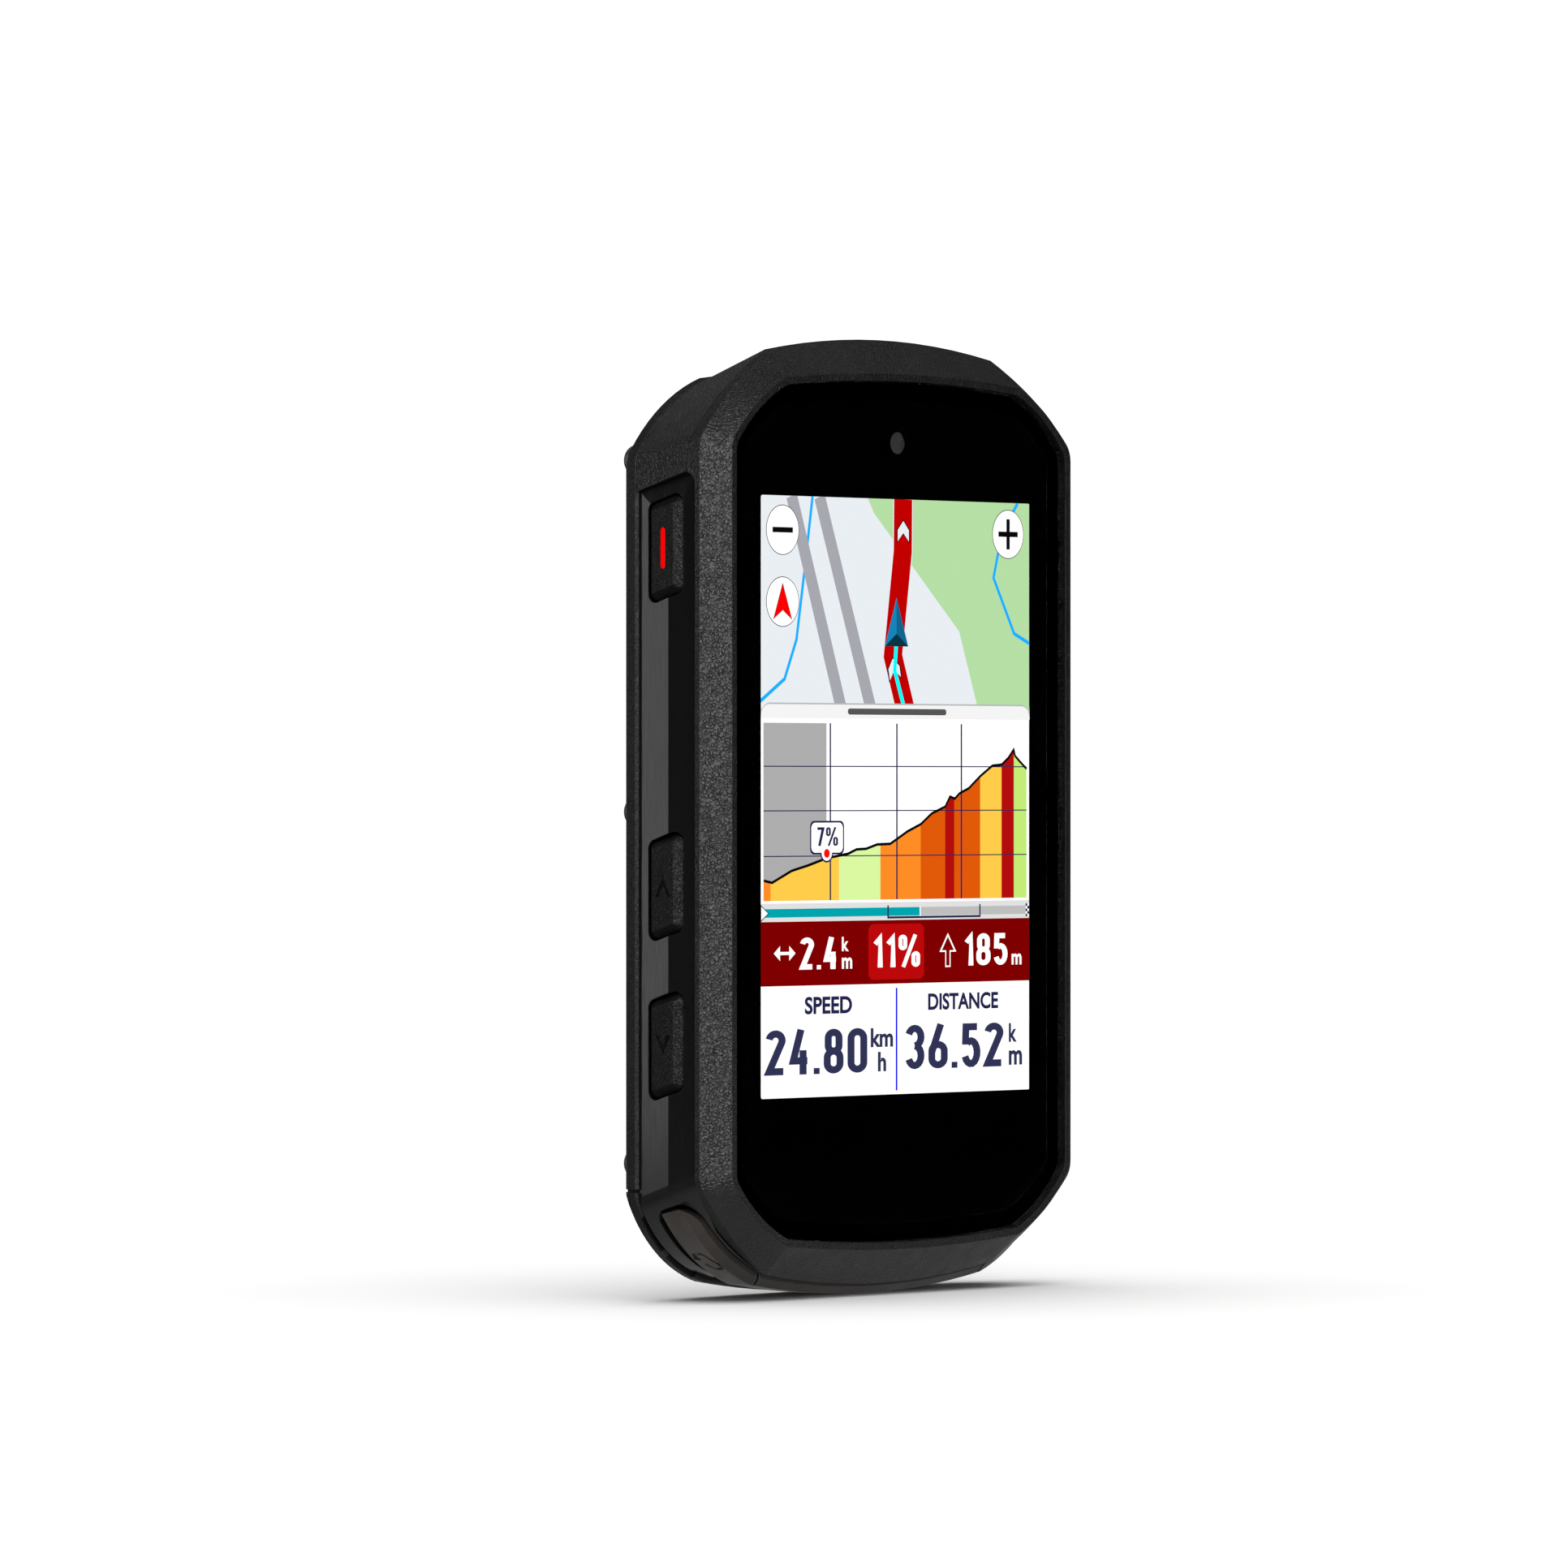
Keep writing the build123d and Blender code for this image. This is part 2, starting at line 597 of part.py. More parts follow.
with BuildPart() as mid_band:
    skin((FRAME_SIDE_DEPTH, BAND_FRONT, 0), (RIDGE_DEPTH, BAND_RIDGE, 0), (SEAM_DEPTH, BAND_REAR, 0))
    rim_corner = (FRAME_SIDE_DEPTH + FRAME_SEAM, RIM_FRONT_Z - FRAME_SEAM)
    side_prism(
        behind_frame(FRAME_SEAM),
        mode=Mode.INTERSECT,
        rounded=[rim_corner],
        radius=RIM_ROUND - FRAME_SEAM,
    )
    split(bisect_by=Plane.YZ)
    split(bisect_by=HIP_PLANE, keep=Keep.TOP)
    mirror(about=Plane.YZ)
    slab(FRAME_ROOM, FRAME_SIDE_DEPTH + FIT, SEAM_DEPTH, inset=HOOD_WALL + FIT)
    slab(CAVITY, FRAME_SIDE_DEPTH, SEAM_DEPTH, mode=Mode.SUBTRACT)
    # Deck that closes the case under the weather cap, with the port's opening
    with BuildSketch(depth_plane(SEAM_DEPTH)):
        add(case_face(CAVITY, -ROOT))
        add(case_above(CAVITY, -ROOT, DECK_TOP_Z), mode=Mode.SUBTRACT)
    extrude(amount=SEAM_DEPTH - DECK_FRONT_DEPTH)
    with BuildSketch(depth_plane(SEAM_DEPTH)):
        with Locations((0, PORT_Z)):
            SlotOverall(PORT_W + 2 * FIT, PORT_H + 2 * FIT)
    extrude(amount=SEAM_DEPTH - DECK_FRONT_DEPTH, mode=Mode.SUBTRACT)
    # Bosses for the rear screws
    with BuildSketch(depth_plane(SEAM_DEPTH)):
        with Locations(REAR_SCREWS):
            Circle(BOSS_R)
        add(case_face(FRAME_ROOM, HOOD_WALL + FIT), mode=Mode.INTERSECT)
    extrude(amount=SEAM_DEPTH - BOSS_FRONT_DEPTH)
    discs(REAR_SCREWS, REAR_SHANK_R, REAR_SCREW_FRONT_DEPTH - ROOT, SEAM_DEPTH, mode=Mode.SUBTRACT)
    # Groove for the case seal
    with BuildSketch(depth_plane(SEAM_DEPTH)):
        add(seal_path())
    extrude(amount=SEAL_GROOVE, mode=Mode.SUBTRACT)
    # Pockets, bores and the channel for the keys
    add(lower_channel.part, mode=Mode.SUBTRACT)
    for plane, back, floor, wall in KEYS.values():
        stem_bore(plane, floor, wall)
    for side, z in KEY_PLACES.values():
        with BuildSketch(key_plane(side, z).offset(-POCKET_FLOOR)):
            add(key_tablet(side, KEY_GAP))
        extrude(amount=POCKET_FLOOR + OVERRUN, mode=Mode.SUBTRACT)
keep(mid_band, "mid_band")

# Side keys
for name, (side, z) in KEY_PLACES.items():
    plane = key_plane(side, z)
    with BuildPart() as side_key:
        with BuildSketch(plane.offset(-KEY_THICK)):
            add(key_tablet(side))
        extrude(amount=KEY_THICK)
        outer_face = side_key.faces().sort_by(Axis.X)[-1 if side > 0 else 0]
        chamfer(outer_face.edges(), KEY_BEVEL)
        stem(plane, KEY_THICK, SIDE_WALL)
        if name == "power":
            with BuildSketch(plane.offset(-INLAY_DEPTH)):
                SlotOverall(INLAY_H, INLAY_W, rotation=90)
            extrude(amount=INLAY_DEPTH, mode=Mode.SUBTRACT)
        else:
            with BuildSketch(plane.offset(-MARK_DEPTH)):
                add(KEY_MARKS[name]())
            extrude(amount=MARK_DEPTH, mode=Mode.SUBTRACT)
    keep(side_key, f"{name}_button")

with BuildPart() as power_button_inlay:
    with BuildSketch(key_plane(*KEY_PLACES["power"]).offset(-INLAY_DEPTH)):
        SlotOverall(INLAY_H, INLAY_W, rotation=90)
    extrude(amount=INLAY_DEPTH - MARK_DEPTH / 2)
keep(power_button_inlay, "power_button_inlay")

# Lower keys and the strip between them, all cut from one bevelled ring
with BuildPart() as lower_ring:
    skin(
        (LOWER_FRONT_DEPTH, LOWER_FACE, KEY_BEVEL),
        (LOWER_FRONT_DEPTH + KEY_BEVEL, LOWER_FACE, 0),
        (LOWER_REAR_DEPTH - KEY_BEVEL, LOWER_FACE, 0),
        (LOWER_REAR_DEPTH, LOWER_FACE, KEY_BEVEL),
    )
    slab(LOWER_FACE, *LOWER_CUT, inset=LOWER_BACK, mode=Mode.SUBTRACT)
    top_front = (LOWER_FRONT_DEPTH, LOWER_TOP_Z)
    top_rear = (LOWER_REAR_DEPTH, LOWER_TOP_Z - KEY_SLANT)
    foot = ((LOWER_REAR_DEPTH, -BEYOND), (LOWER_FRONT_DEPTH, -BEYOND))
    corners = [top_front, top_rear]
    side_prism((*corners, *foot), mode=Mode.INTERSECT, rounded=corners, radius=LOWER_ROUND)
    # Bevel along the top edge of each lower key
    slope = KEY_SLANT / (LOWER_REAR_DEPTH - LOWER_FRONT_DEPTH)
    for side in LOWER_KEYS.values():
        edge = (side * (LOWER_FACE.half_width - LOWER_TOP_BEVEL), row_y(LOWER_FRONT_DEPTH), LOWER_TOP_Z)
        split(bisect_by=Plane(origin=edge, z_dir=(side, slope, 1)), keep=Keep.BOTTOM)

for name, side in LOWER_KEYS.items():
    plane = lower_plane(side)
    with BuildPart() as lower_key:
        add(lower_ring.part)
        with BuildSketch(Plane.XY.offset(-BEYOND)):
            add(between_seams(SEAM_GAP, side))
        extrude(amount=BEYOND, mode=Mode.SUBTRACT)
        stem(plane, LOWER_BACK, LOWER_WALL)
        with BuildSketch(lower_plane(side, LOWER_MARK_DOWN).offset(-MARK_DEPTH)):
            add(KEY_MARKS[name]())
        extrude(amount=MARK_DEPTH + OVERRUN, mode=Mode.SUBTRACT)
    keep(lower_key, f"{name}_button")

with BuildPart() as bottom_strip:
    add(lower_ring.part)
    slab(LOWER_FACE, *LOWER_CUT, inset=CHANNEL_FLOOR, mode=Mode.SUBTRACT)
    with BuildSketch(Plane.XY.offset(-BEYOND)):
        add(between_seams(0, 0))
    extrude(amount=BEYOND, mode=Mode.INTERSECT)
keep(bottom_strip, "bottom_strip")

# Clips on the stems and seals in the bores
for name, (plane, back, floor, wall) in KEYS.items():
    with BuildPart() as clip:
        with BuildSketch(plane.offset(-wall - FIT)):
            Circle(CLIP_R)
            Circle(CLIP_NECK_R, mode=Mode.SUBTRACT)
            with Locations((0, -CLIP_R)):
                Rectangle(CLIP_NECK_R, 2 * CLIP_R, mode=Mode.SUBTRACT)
        extrude(amount=-CLIP_THICK)
    keep(clip, f"{name}_button_clip")

with BuildPart() as button_seals:
    for plane, back, floor, wall in KEYS.values():
        with Locations(plane.offset(-floor - SEAL_R)):
            Torus(SEAL_RING_R, SEAL_R)
keep(button_seals, "button_seals")

# Rear cover and weather cap, cut from one bevelled shell, and their hinge
with BuildPart() as rear_shell:
    skin(
        (COVER_DEPTH, REAR, SEAM_V_INSET),
        (COVER_DEPTH + SEAM_V_DEPTH, REAR, 0),
        (CASE_DEPTH - COVER_BEVEL, REAR, 0),
        (CASE_DEPTH, REAR, COVER_BEVEL),
    )

with BuildPart() as cover_knuckles:
    hinge_bar(KNUCKLE_R, (HINGE_SPLIT + GAP, HINGE_REACH), web=Align.MIN)

with BuildPart() as cap_knuckles:
    hinge_bar(KNUCKLE_R, (0, HINGE_SPLIT), web=Align.MAX)

with BuildPart() as cover_knuckle_room:
    hinge_bar(KNUCKLE_R + GAP, (HINGE_SPLIT - GAP, HINGE_REACH + GAP))

with BuildPart() as cap_knuckle_room:
    hinge_bar(KNUCKLE_R + GAP, (0, HINGE_SPLIT + GAP))

with BuildPart() as rear_cover:
    add(rear_shell.part)
    split(bisect_by=Plane.XY.offset(COVER_LOW_Z))
    with BuildSketch(depth_plane(COVER_INNER_DEPTH)):
        add(case_above(CAVITY, 0, DECK_TOP_Z))
    extrude(amount=COVER_INNER_DEPTH - COVER_DEPTH, mode=Mode.SUBTRACT)
    with BuildSketch(depth_plane(RAIN_LIP_REAR_DEPTH)):
        add(rain_lip())
    extrude(amount=RAIN_LIP_REAR_DEPTH - COVER_DEPTH)
    add(cap_knuckle_room.part, mode=Mode.SUBTRACT)
    add(cover_knuckles.part)
    hinge_bar(PIN_R, (0, HINGE_REACH + OVERRUN), mode=Mode.SUBTRACT)
    discs(REAR_SCREWS, REAR_SHANK_R + GAP, COVER_DEPTH, CASE_DEPTH, mode=Mode.SUBTRACT)
    discs(PUCK_SCREWS, PUCK_SHANK_R, COVER_INNER_DEPTH, CASE_DEPTH, mode=Mode.SUBTRACT)
    discs([PRESSURE_PLACE], VENT_R, COVER_INNER_DEPTH, CASE_DEPTH, mode=Mode.SUBTRACT)
keep(rear_cover, "rear_cover")

with BuildPart() as weather_cap:
    add(rear_shell.part)
    split(bisect_by=Plane.XY.offset(CAP_TOP_Z), keep=Keep.BOTTOM)
    block((0, 0), (2 * BEYOND, 2 * BEYOND), COVER_DEPTH, CAP_FRONT_DEPTH, mode=Mode.SUBTRACT)
    with BuildSketch(depth_plane(CAP_POCKET_DEPTH)):
        add(case_face(REAR, CAP_RIM))
        add(case_above(REAR, CAP_RIM, CAP_TOP_Z - CAP_RIM), mode=Mode.SUBTRACT)
        with Locations((0, PORT_Z)):
            SlotOverall(PORT_W + 2 * PORT_PLUG_ROOM, PORT_H + 2 * PORT_PLUG_ROOM, mode=Mode.SUBTRACT)
    extrude(amount=CAP_POCKET_DEPTH - CAP_FRONT_DEPTH, mode=Mode.SUBTRACT)
    with BuildSketch(depth_plane(RAIN_LIP_REAR_DEPTH + GAP)):
        add(rain_lip(GAP))
    extrude(amount=RAIN_LIP_REAR_DEPTH + GAP - COVER_DEPTH, mode=Mode.SUBTRACT)
    # Finger notches along both corners of the front edge
    for side in (-1, 1):
        plane = Plane(
            origin=(side * LOWER_KEY_X, row_y(CAP_FRONT_DEPTH), LOWER_KEY_Z),
            x_dir=(0, side, 0),
            z_dir=(side * LOWER_NORMAL[0], 0, LOWER_NORMAL[1]),
        )
        with BuildSketch(plane):
            with Locations(*NOTCH_PLACES):
                Rectangle(NOTCH_DEPTH * 2, NOTCH_L)
        extrude(amount=CAP_RIM, both=True, mode=Mode.SUBTRACT)
    add(cover_knuckle_room.part, mode=Mode.SUBTRACT)
    add(cap_knuckles.part)
    hinge_bar(PIN_R + FIT, (0, HINGE_REACH), mode=Mode.SUBTRACT)
keep(weather_cap, "weather_cap")

with BuildPart() as cap_hinge_pin:
    hinge_bar(PIN_R, (0, HINGE_REACH))
    ends = cap_hinge_pin.edges().filter_by(lambda edge: abs(edge.center().X) > HINGE_SPLIT)
    chamfer(ends.filter_by(GeomType.CIRCLE), PIN_CHAMFER)
keep(cap_hinge_pin, "cap_hinge_pin")

# Puck: a base, a neck and two opposed tabs for the quarter-turn mount
with BuildPart() as mount_puck:
    discs([(0, 0)], PUCK_BASE_R, CASE_DEPTH, CASE_DEPTH + PUCK_BASE_H)
    chamfer(mount_puck.edges().sort_by(Axis.Y)[-1], PUCK_BASE_CHAMFER)
    discs([(0, 0)], PUCK_NECK_R, CASE_DEPTH, TOTAL_DEPTH)
    chamfer(mount_puck.faces().sort_by(Axis.Y)[-1].edges(), PUCK_NECK_CHAMFER)
    with BuildSketch(depth_plane(PUCK_TAB_REAR)):
        Circle(PUCK_TAB_R)
        Rectangle(PUCK_TAB_W, PUCK_TAB_R * 2, mode=Mode.INTERSECT)
    extrude(amount=PUCK_TAB_REAR - PUCK_TAB_FRONT)
    discs(PUCK_SCREWS, PUCK_SHANK_R + GAP, CASE_DEPTH, TOTAL_DEPTH, mode=Mode.SUBTRACT)
    discs(PUCK_SCREWS, PUCK_HEAD_R + GAP, TOTAL_DEPTH - PUCK_HEAD_H, TOTAL_DEPTH, mode=Mode.SUBTRACT)
keep(mount_puck, "mount_puck")

with BuildPart() as puck_screws:
    discs(PUCK_SCREWS, PUCK_HEAD_R, TOTAL_DEPTH - PUCK_HEAD_H, TOTAL_DEPTH - GAP)
    chamfer(puck_screws.faces().sort_by(Axis.Y)[-len(PUCK_SCREWS) :].edges(), PUCK_HEAD_CHAMFER)
    discs(PUCK_SCREWS, PUCK_SHANK_R, COVER_INNER_DEPTH + GAP, TOTAL_DEPTH - PUCK_HEAD_H)
    with BuildSketch(depth_plane(TOTAL_DEPTH)):
        with Locations(*PUCK_SCREWS):
            RegularPolygon(PUCK_HEX_R, 6)
    extrude(amount=PUCK_HEX_DEPTH, mode=Mode.SUBTRACT)
keep(puck_screws, "puck_screws")

with BuildPart() as rear_screws:
    discs(REAR_SCREWS, REAR_HEAD_R, CASE_DEPTH, CASE_DEPTH + REAR_HEAD_H)
    fillet(rear_screws.faces().sort_by(Axis.Y)[-len(REAR_SCREWS) :].edges(), REAR_DOME_R)
    discs(REAR_SCREWS, REAR_SHANK_R, REAR_SCREW_FRONT_DEPTH, CASE_DEPTH)
    with BuildSketch(depth_plane(CASE_DEPTH + REAR_HEAD_H)):
        with Locations(*REAR_SCREWS):
            RegularPolygon(REAR_HEX_R, 6)
    extrude(amount=REAR_HEX_DEPTH, mode=Mode.SUBTRACT)
keep(rear_screws, "rear_screws")

# Glass and the display stack
with BuildPart() as cover_glass:
    skin(
        (GLASS_FRONT_DEPTH, LIP, GLASS_INSET + GLASS_BEVEL),
        (GLASS_FRONT_DEPTH + GLASS_BEVEL, LIP, GLASS_INSET),
        (GLASS_REAR_DEPTH, LIP, GLASS_INSET),
    )
keep(cover_glass, "cover_glass")

with BuildPart() as glass_adhesive:
    slab(LIP, GLASS_REAR_DEPTH, LEDGE_DEPTH, inset=GLASS_INSET + GAP)
    slab(LIP, GLASS_REAR_DEPTH, LEDGE_DEPTH, inset=LEDGE_INSET - GAP, mode=Mode.SUBTRACT)
keep(glass_adhesive, "glass_adhesive")

with BuildPart() as display_panel:
    panel_size = (PANEL_W, PANEL_H)
    block((0, PANEL_Z), panel_size, PANEL_FRONT_DEPTH, PANEL_REAR_DEPTH, corner=PANEL_CORNER)
keep(display_panel, "display_panel")

with BuildPart() as backlight:
    block((0, PANEL_Z), panel_size, PANEL_REAR_DEPTH, BRACKET_DEPTH, corner=PANEL_CORNER)
    chamfer(backlight.faces().sort_by(Axis.Y)[-1].edges(), BACKLIGHT_CHAMFER)
keep(backlight, "backlight")

with BuildPart() as display_flex:
    with BuildSketch(Plane.YZ):
        with BuildLine():
            high = PANEL_Z - PANEL_H / 2
            low = high - DISPLAY_FLEX_LOOP
            front = row_y(DISPLAY_FLEX_DEPTH)
            rear = row_y(BOARD_DEPTH - FLEX / 2 - FLEX_FIT)
            bend = (rear - front) / 2
            Line((front, high), (front, low))
            ThreePointArc((front, low), (front + bend, low - bend), (rear, low))
            Line((rear, low), (rear, high + DISPLAY_FLEX_TAIL))
        trace(line_width=FLEX)
    extrude(amount=DISPLAY_FLEX_W / 2, both=True)
keep(display_flex, "display_flex")

with BuildPart() as display_bracket:
    with BuildSketch(depth_plane(BRACKET_REAR_DEPTH)):
        add(case_above(CAVITY, BRACKET_INSET, BRACKET_LOW_Z))
        with Locations((0, BRACKET_LOW_Z)):
            Rectangle(BRACKET_NOTCH_W, BRACKET_NOTCH_H, mode=Mode.SUBTRACT)
        with Locations(*BRACKET_WINDOWS):
            RectangleRounded(BRACKET_WINDOW_W, BRACKET_WINDOW_H, BRACKET_WINDOW_R, mode=Mode.SUBTRACT)
    extrude(amount=BRACKET_REAR_DEPTH - BRACKET_DEPTH)
    discs(BOARD_SCREWS, STANDOFF_R, BRACKET_REAR_DEPTH, BOARD_DEPTH)
    discs(BOARD_SCREWS, SMALL_SCREW_R, BRACKET_DEPTH, BOARD_DEPTH, mode=Mode.SUBTRACT)
    discs(BRACKET_SCREWS, SMALL_SCREW_R, BRACKET_DEPTH, BRACKET_REAR_DEPTH, mode=Mode.SUBTRACT)
keep(display_bracket, "display_bracket")

with BuildPart() as light_sensor:
    discs([(0, SENSOR_Z)], SENSOR_R, PANEL_FRONT_DEPTH, SENSOR_BASE_DEPTH)
    base_size = (SENSOR_BASE_W, SENSOR_BASE_W)
    block((0, SENSOR_Z), base_size, SENSOR_BASE_DEPTH, BRACKET_DEPTH, corner=SENSOR_BASE_R)
keep(light_sensor, "light_sensor")

with BuildPart() as bracket_screws:
    discs(BRACKET_SCREWS, SMALL_SCREW_R, FRAME_SIDE_DEPTH + GAP, BRACKET_REAR_DEPTH)
    discs(BRACKET_SCREWS, SMALL_HEAD_R, BRACKET_REAR_DEPTH, BRACKET_REAR_DEPTH + SMALL_HEAD_H)
keep(bracket_screws, "bracket_screws")

# Boards, battery and what is on them
with BuildPart() as main_board:
    with BuildSketch(depth_plane(BOARD_REAR_DEPTH)):
        add(case_above(CAVITY, BOARD_INSET, BOARD_LOW_Z))
        Rectangle(BOARD_W, 2 * BEYOND, mode=Mode.INTERSECT)
        with Locations(*BOARD_SCREWS):
            Circle(SMALL_SCREW_R, mode=Mode.SUBTRACT)
    extrude(amount=BOARD_REAR_DEPTH - BOARD_DEPTH)
keep(main_board, "main_board")

with BuildPart() as board_screws:
    discs(BOARD_SCREWS, SMALL_SCREW_R, BRACKET_REAR_DEPTH, BOARD_REAR_DEPTH)
    discs(BOARD_SCREWS, SMALL_HEAD_R, BOARD_REAR_DEPTH, BOARD_REAR_DEPTH + SMALL_HEAD_H)
keep(board_screws, "board_screws")

with BuildPart() as shield_cans:
    can_rear = BOARD_REAR_DEPTH + CAN_H
    for x, z, width, height in CANS:
        block((x, z), (width, height), BOARD_REAR_DEPTH, can_rear, corner=CAN_CORNER)
        inside = (width - 2 * SHEET, height - 2 * SHEET)
        roof = can_rear - SHEET
        block((x, z), inside, BOARD_REAR_DEPTH, roof, corner=CAN_CORNER - SHEET, mode=Mode.SUBTRACT)
keep(shield_cans, "shield_cans")

with BuildPart() as gnss_antenna:
    patch_rear = BOARD_REAR_DEPTH + GNSS_H
    block((0, GNSS_Z), (GNSS_W, GNSS_W), BOARD_REAR_DEPTH, patch_rear, corner=GNSS_CORNER)
    discs([(0, GNSS_Z)], GNSS_PIN_R, patch_rear, patch_rear + GNSS_PIN_H)
keep(gnss_antenna, "gnss_antenna")

with BuildPart() as wireless_antenna:
    size = (ANTENNA_W, ANTENNA_L)
    block(ANTENNA_PLACE, size, BOARD_REAR_DEPTH, BOARD_REAR_DEPTH + ANTENNA_H, corner=ANTENNA_CORNER)
keep(wireless_antenna, "wireless_antenna")

with BuildPart() as pressure_sensor:
    can_rear = BOARD_REAR_DEPTH + PRESSURE_H
    size = (PRESSURE_W, PRESSURE_W)
    block(PRESSURE_PLACE, size, BOARD_REAR_DEPTH, can_rear, corner=PRESSURE_CORNER)
    hole_floor = can_rear - PRESSURE_HOLE_L
    discs([PRESSURE_PLACE], PRESSURE_HOLE_R, hole_floor, can_rear, mode=Mode.SUBTRACT)
keep(pressure_sensor, "pressure_sensor")

with BuildPart() as buzzer:
    buzzer_rear = BOARD_REAR_DEPTH + BUZZER_H
    discs([BUZZER_PLACE], BUZZER_R, BOARD_REAR_DEPTH, buzzer_rear)
    discs([BUZZER_PLACE], BUZZER_HOLE_R, buzzer_rear - BUZZER_HOLE_L, buzzer_rear, mode=Mode.SUBTRACT)
keep(buzzer, "buzzer")

with BuildPart() as battery:
    size = (BATTERY_W, BATTERY_H)
    block((0, BATTERY_Z), size, BATTERY_DEPTH, BATTERY_REAR_DEPTH, corner=BATTERY_CORNER)
    fillet(battery.edges().filter_by(Axis.Y, reverse=True), BATTERY_EDGE_R)
keep(battery, "battery")

with BuildPart() as battery_pads:
    for z in PADS_Z:
        block((0, z), (PAD_W, PAD_H), BATTERY_REAR_DEPTH, COVER_INNER_DEPTH, corner=PAD_CORNER)
keep(battery_pads, "battery_pads")

with BuildPart() as port_board:
    size = (PORT_BOARD_W, PORT_BOARD_H)
    block((0, PORT_Z), size, FRAME_SIDE_DEPTH, PORT_BOARD_REAR_DEPTH, corner=PORT_BOARD_CORNER)
keep(port_board, "port_board")

with BuildPart() as usb_c_receptacle:
    with BuildSketch(depth_plane(DECK_FACE_DEPTH)):
        with Locations((0, PORT_Z)):
            SlotOverall(PORT_W, PORT_H)
    extrude(amount=DECK_FACE_DEPTH - PORT_BOARD_REAR_DEPTH)
    with BuildSketch(depth_plane(DECK_FACE_DEPTH)):
        with Locations((0, PORT_Z)):
            SlotOverall(PORT_MOUTH_W, PORT_MOUTH_H)
    extrude(amount=DECK_FACE_DEPTH - PORT_FLOOR_DEPTH, mode=Mode.SUBTRACT)
    tongue_rear = DECK_FACE_DEPTH - PORT_TONGUE_SETBACK
    block((0, PORT_Z), (PORT_TONGUE_W, PORT_TONGUE_H), PORT_FLOOR_DEPTH, tongue_rear)
keep(usb_c_receptacle, "usb_c_receptacle")

with BuildPart() as port_seal:
    with BuildSketch(depth_plane(DECK_FRONT_DEPTH)):
        with Locations((0, PORT_Z)):
            SlotOverall(PORT_W + 2 * PORT_SEAL_W, PORT_H + 2 * PORT_SEAL_W)
            SlotOverall(PORT_W + 2 * PORT_SEAL_FIT, PORT_H + 2 * PORT_SEAL_FIT, mode=Mode.SUBTRACT)
    extrude(amount=PORT_SEAL_H)
keep(port_seal, "port_seal")

with BuildPart() as case_seal:
    with BuildSketch(depth_plane(COVER_DEPTH)):
        add(seal_path())
    extrude(amount=COVER_DEPTH - SEAM_DEPTH + SEAL_GROOVE)
keep(case_seal, "case_seal")

with BuildPart() as vent_membrane:
    discs([PRESSURE_PLACE], MEMBRANE_R, COVER_INNER_DEPTH - SHEET, COVER_INNER_DEPTH)
keep(vent_membrane, "vent_membrane")


for place, (names, middle_z, height) in SWITCH_ROWS.items():
    with BuildPart() as switches:
        for name in names:
            key_switch(KEYS[name][0], SIDE_WALL)
    keep(switches, f"{place}_key_switches")
    with BuildPart() as flex:
        key_flex(key_plane(KEY_PLACES[names[0]][0], middle_z), SIDE_WALL, height)
    keep(flex, f"{place}_key_flex")

with BuildPart() as lower_key_switches:
    for name in LOWER_KEYS:
        key_switch(KEYS[name][0], LOWER_WALL)
keep(lower_key_switches, "lower_key_switches")

with BuildPart() as lower_key_flexes:
    for name in LOWER_KEYS:
        key_flex(KEYS[name][0], LOWER_WALL, LOWER_FLEX_H)
keep(lower_key_flexes, "lower_key_flexes")
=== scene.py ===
import json
import math

import bpy
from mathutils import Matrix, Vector
from mathutils.geometry import tessellate_polygon


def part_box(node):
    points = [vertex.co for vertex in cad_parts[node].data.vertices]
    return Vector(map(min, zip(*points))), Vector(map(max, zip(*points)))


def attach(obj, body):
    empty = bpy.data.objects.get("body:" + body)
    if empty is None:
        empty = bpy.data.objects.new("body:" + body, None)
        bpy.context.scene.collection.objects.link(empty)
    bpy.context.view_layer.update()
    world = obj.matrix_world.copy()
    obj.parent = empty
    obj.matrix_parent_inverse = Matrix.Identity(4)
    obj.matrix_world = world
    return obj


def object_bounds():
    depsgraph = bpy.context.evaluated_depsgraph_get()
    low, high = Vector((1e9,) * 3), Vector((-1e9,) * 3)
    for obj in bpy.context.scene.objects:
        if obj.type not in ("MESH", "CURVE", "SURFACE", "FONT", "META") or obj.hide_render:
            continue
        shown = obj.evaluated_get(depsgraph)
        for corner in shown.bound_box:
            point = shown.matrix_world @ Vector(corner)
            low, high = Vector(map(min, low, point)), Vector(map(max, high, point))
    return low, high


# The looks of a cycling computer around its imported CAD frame. Lengths are in metres, as in the
# frame, unless a name or comment says mm. X is right, Y rearwards and Z up.

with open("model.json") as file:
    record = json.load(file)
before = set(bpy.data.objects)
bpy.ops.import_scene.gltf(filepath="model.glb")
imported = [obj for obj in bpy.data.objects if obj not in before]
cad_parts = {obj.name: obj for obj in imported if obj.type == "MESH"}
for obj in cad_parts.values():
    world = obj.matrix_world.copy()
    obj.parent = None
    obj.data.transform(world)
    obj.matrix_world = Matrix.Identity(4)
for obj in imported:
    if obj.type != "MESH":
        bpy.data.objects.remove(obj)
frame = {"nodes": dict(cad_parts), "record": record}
cad_low, cad_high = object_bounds()
nodes = frame["nodes"]
MM = 0.001


# ---------------------------------------------------------------- node helpers


def srgb(red, green, blue):
    """A screen colour, 0 to 255 a channel, as linear light."""
    channels = [c / 255 for c in (red, green, blue)]
    return [c / 12.92 if c <= 0.04045 else ((c + 0.055) / 1.055) ** 2.4 for c in channels]


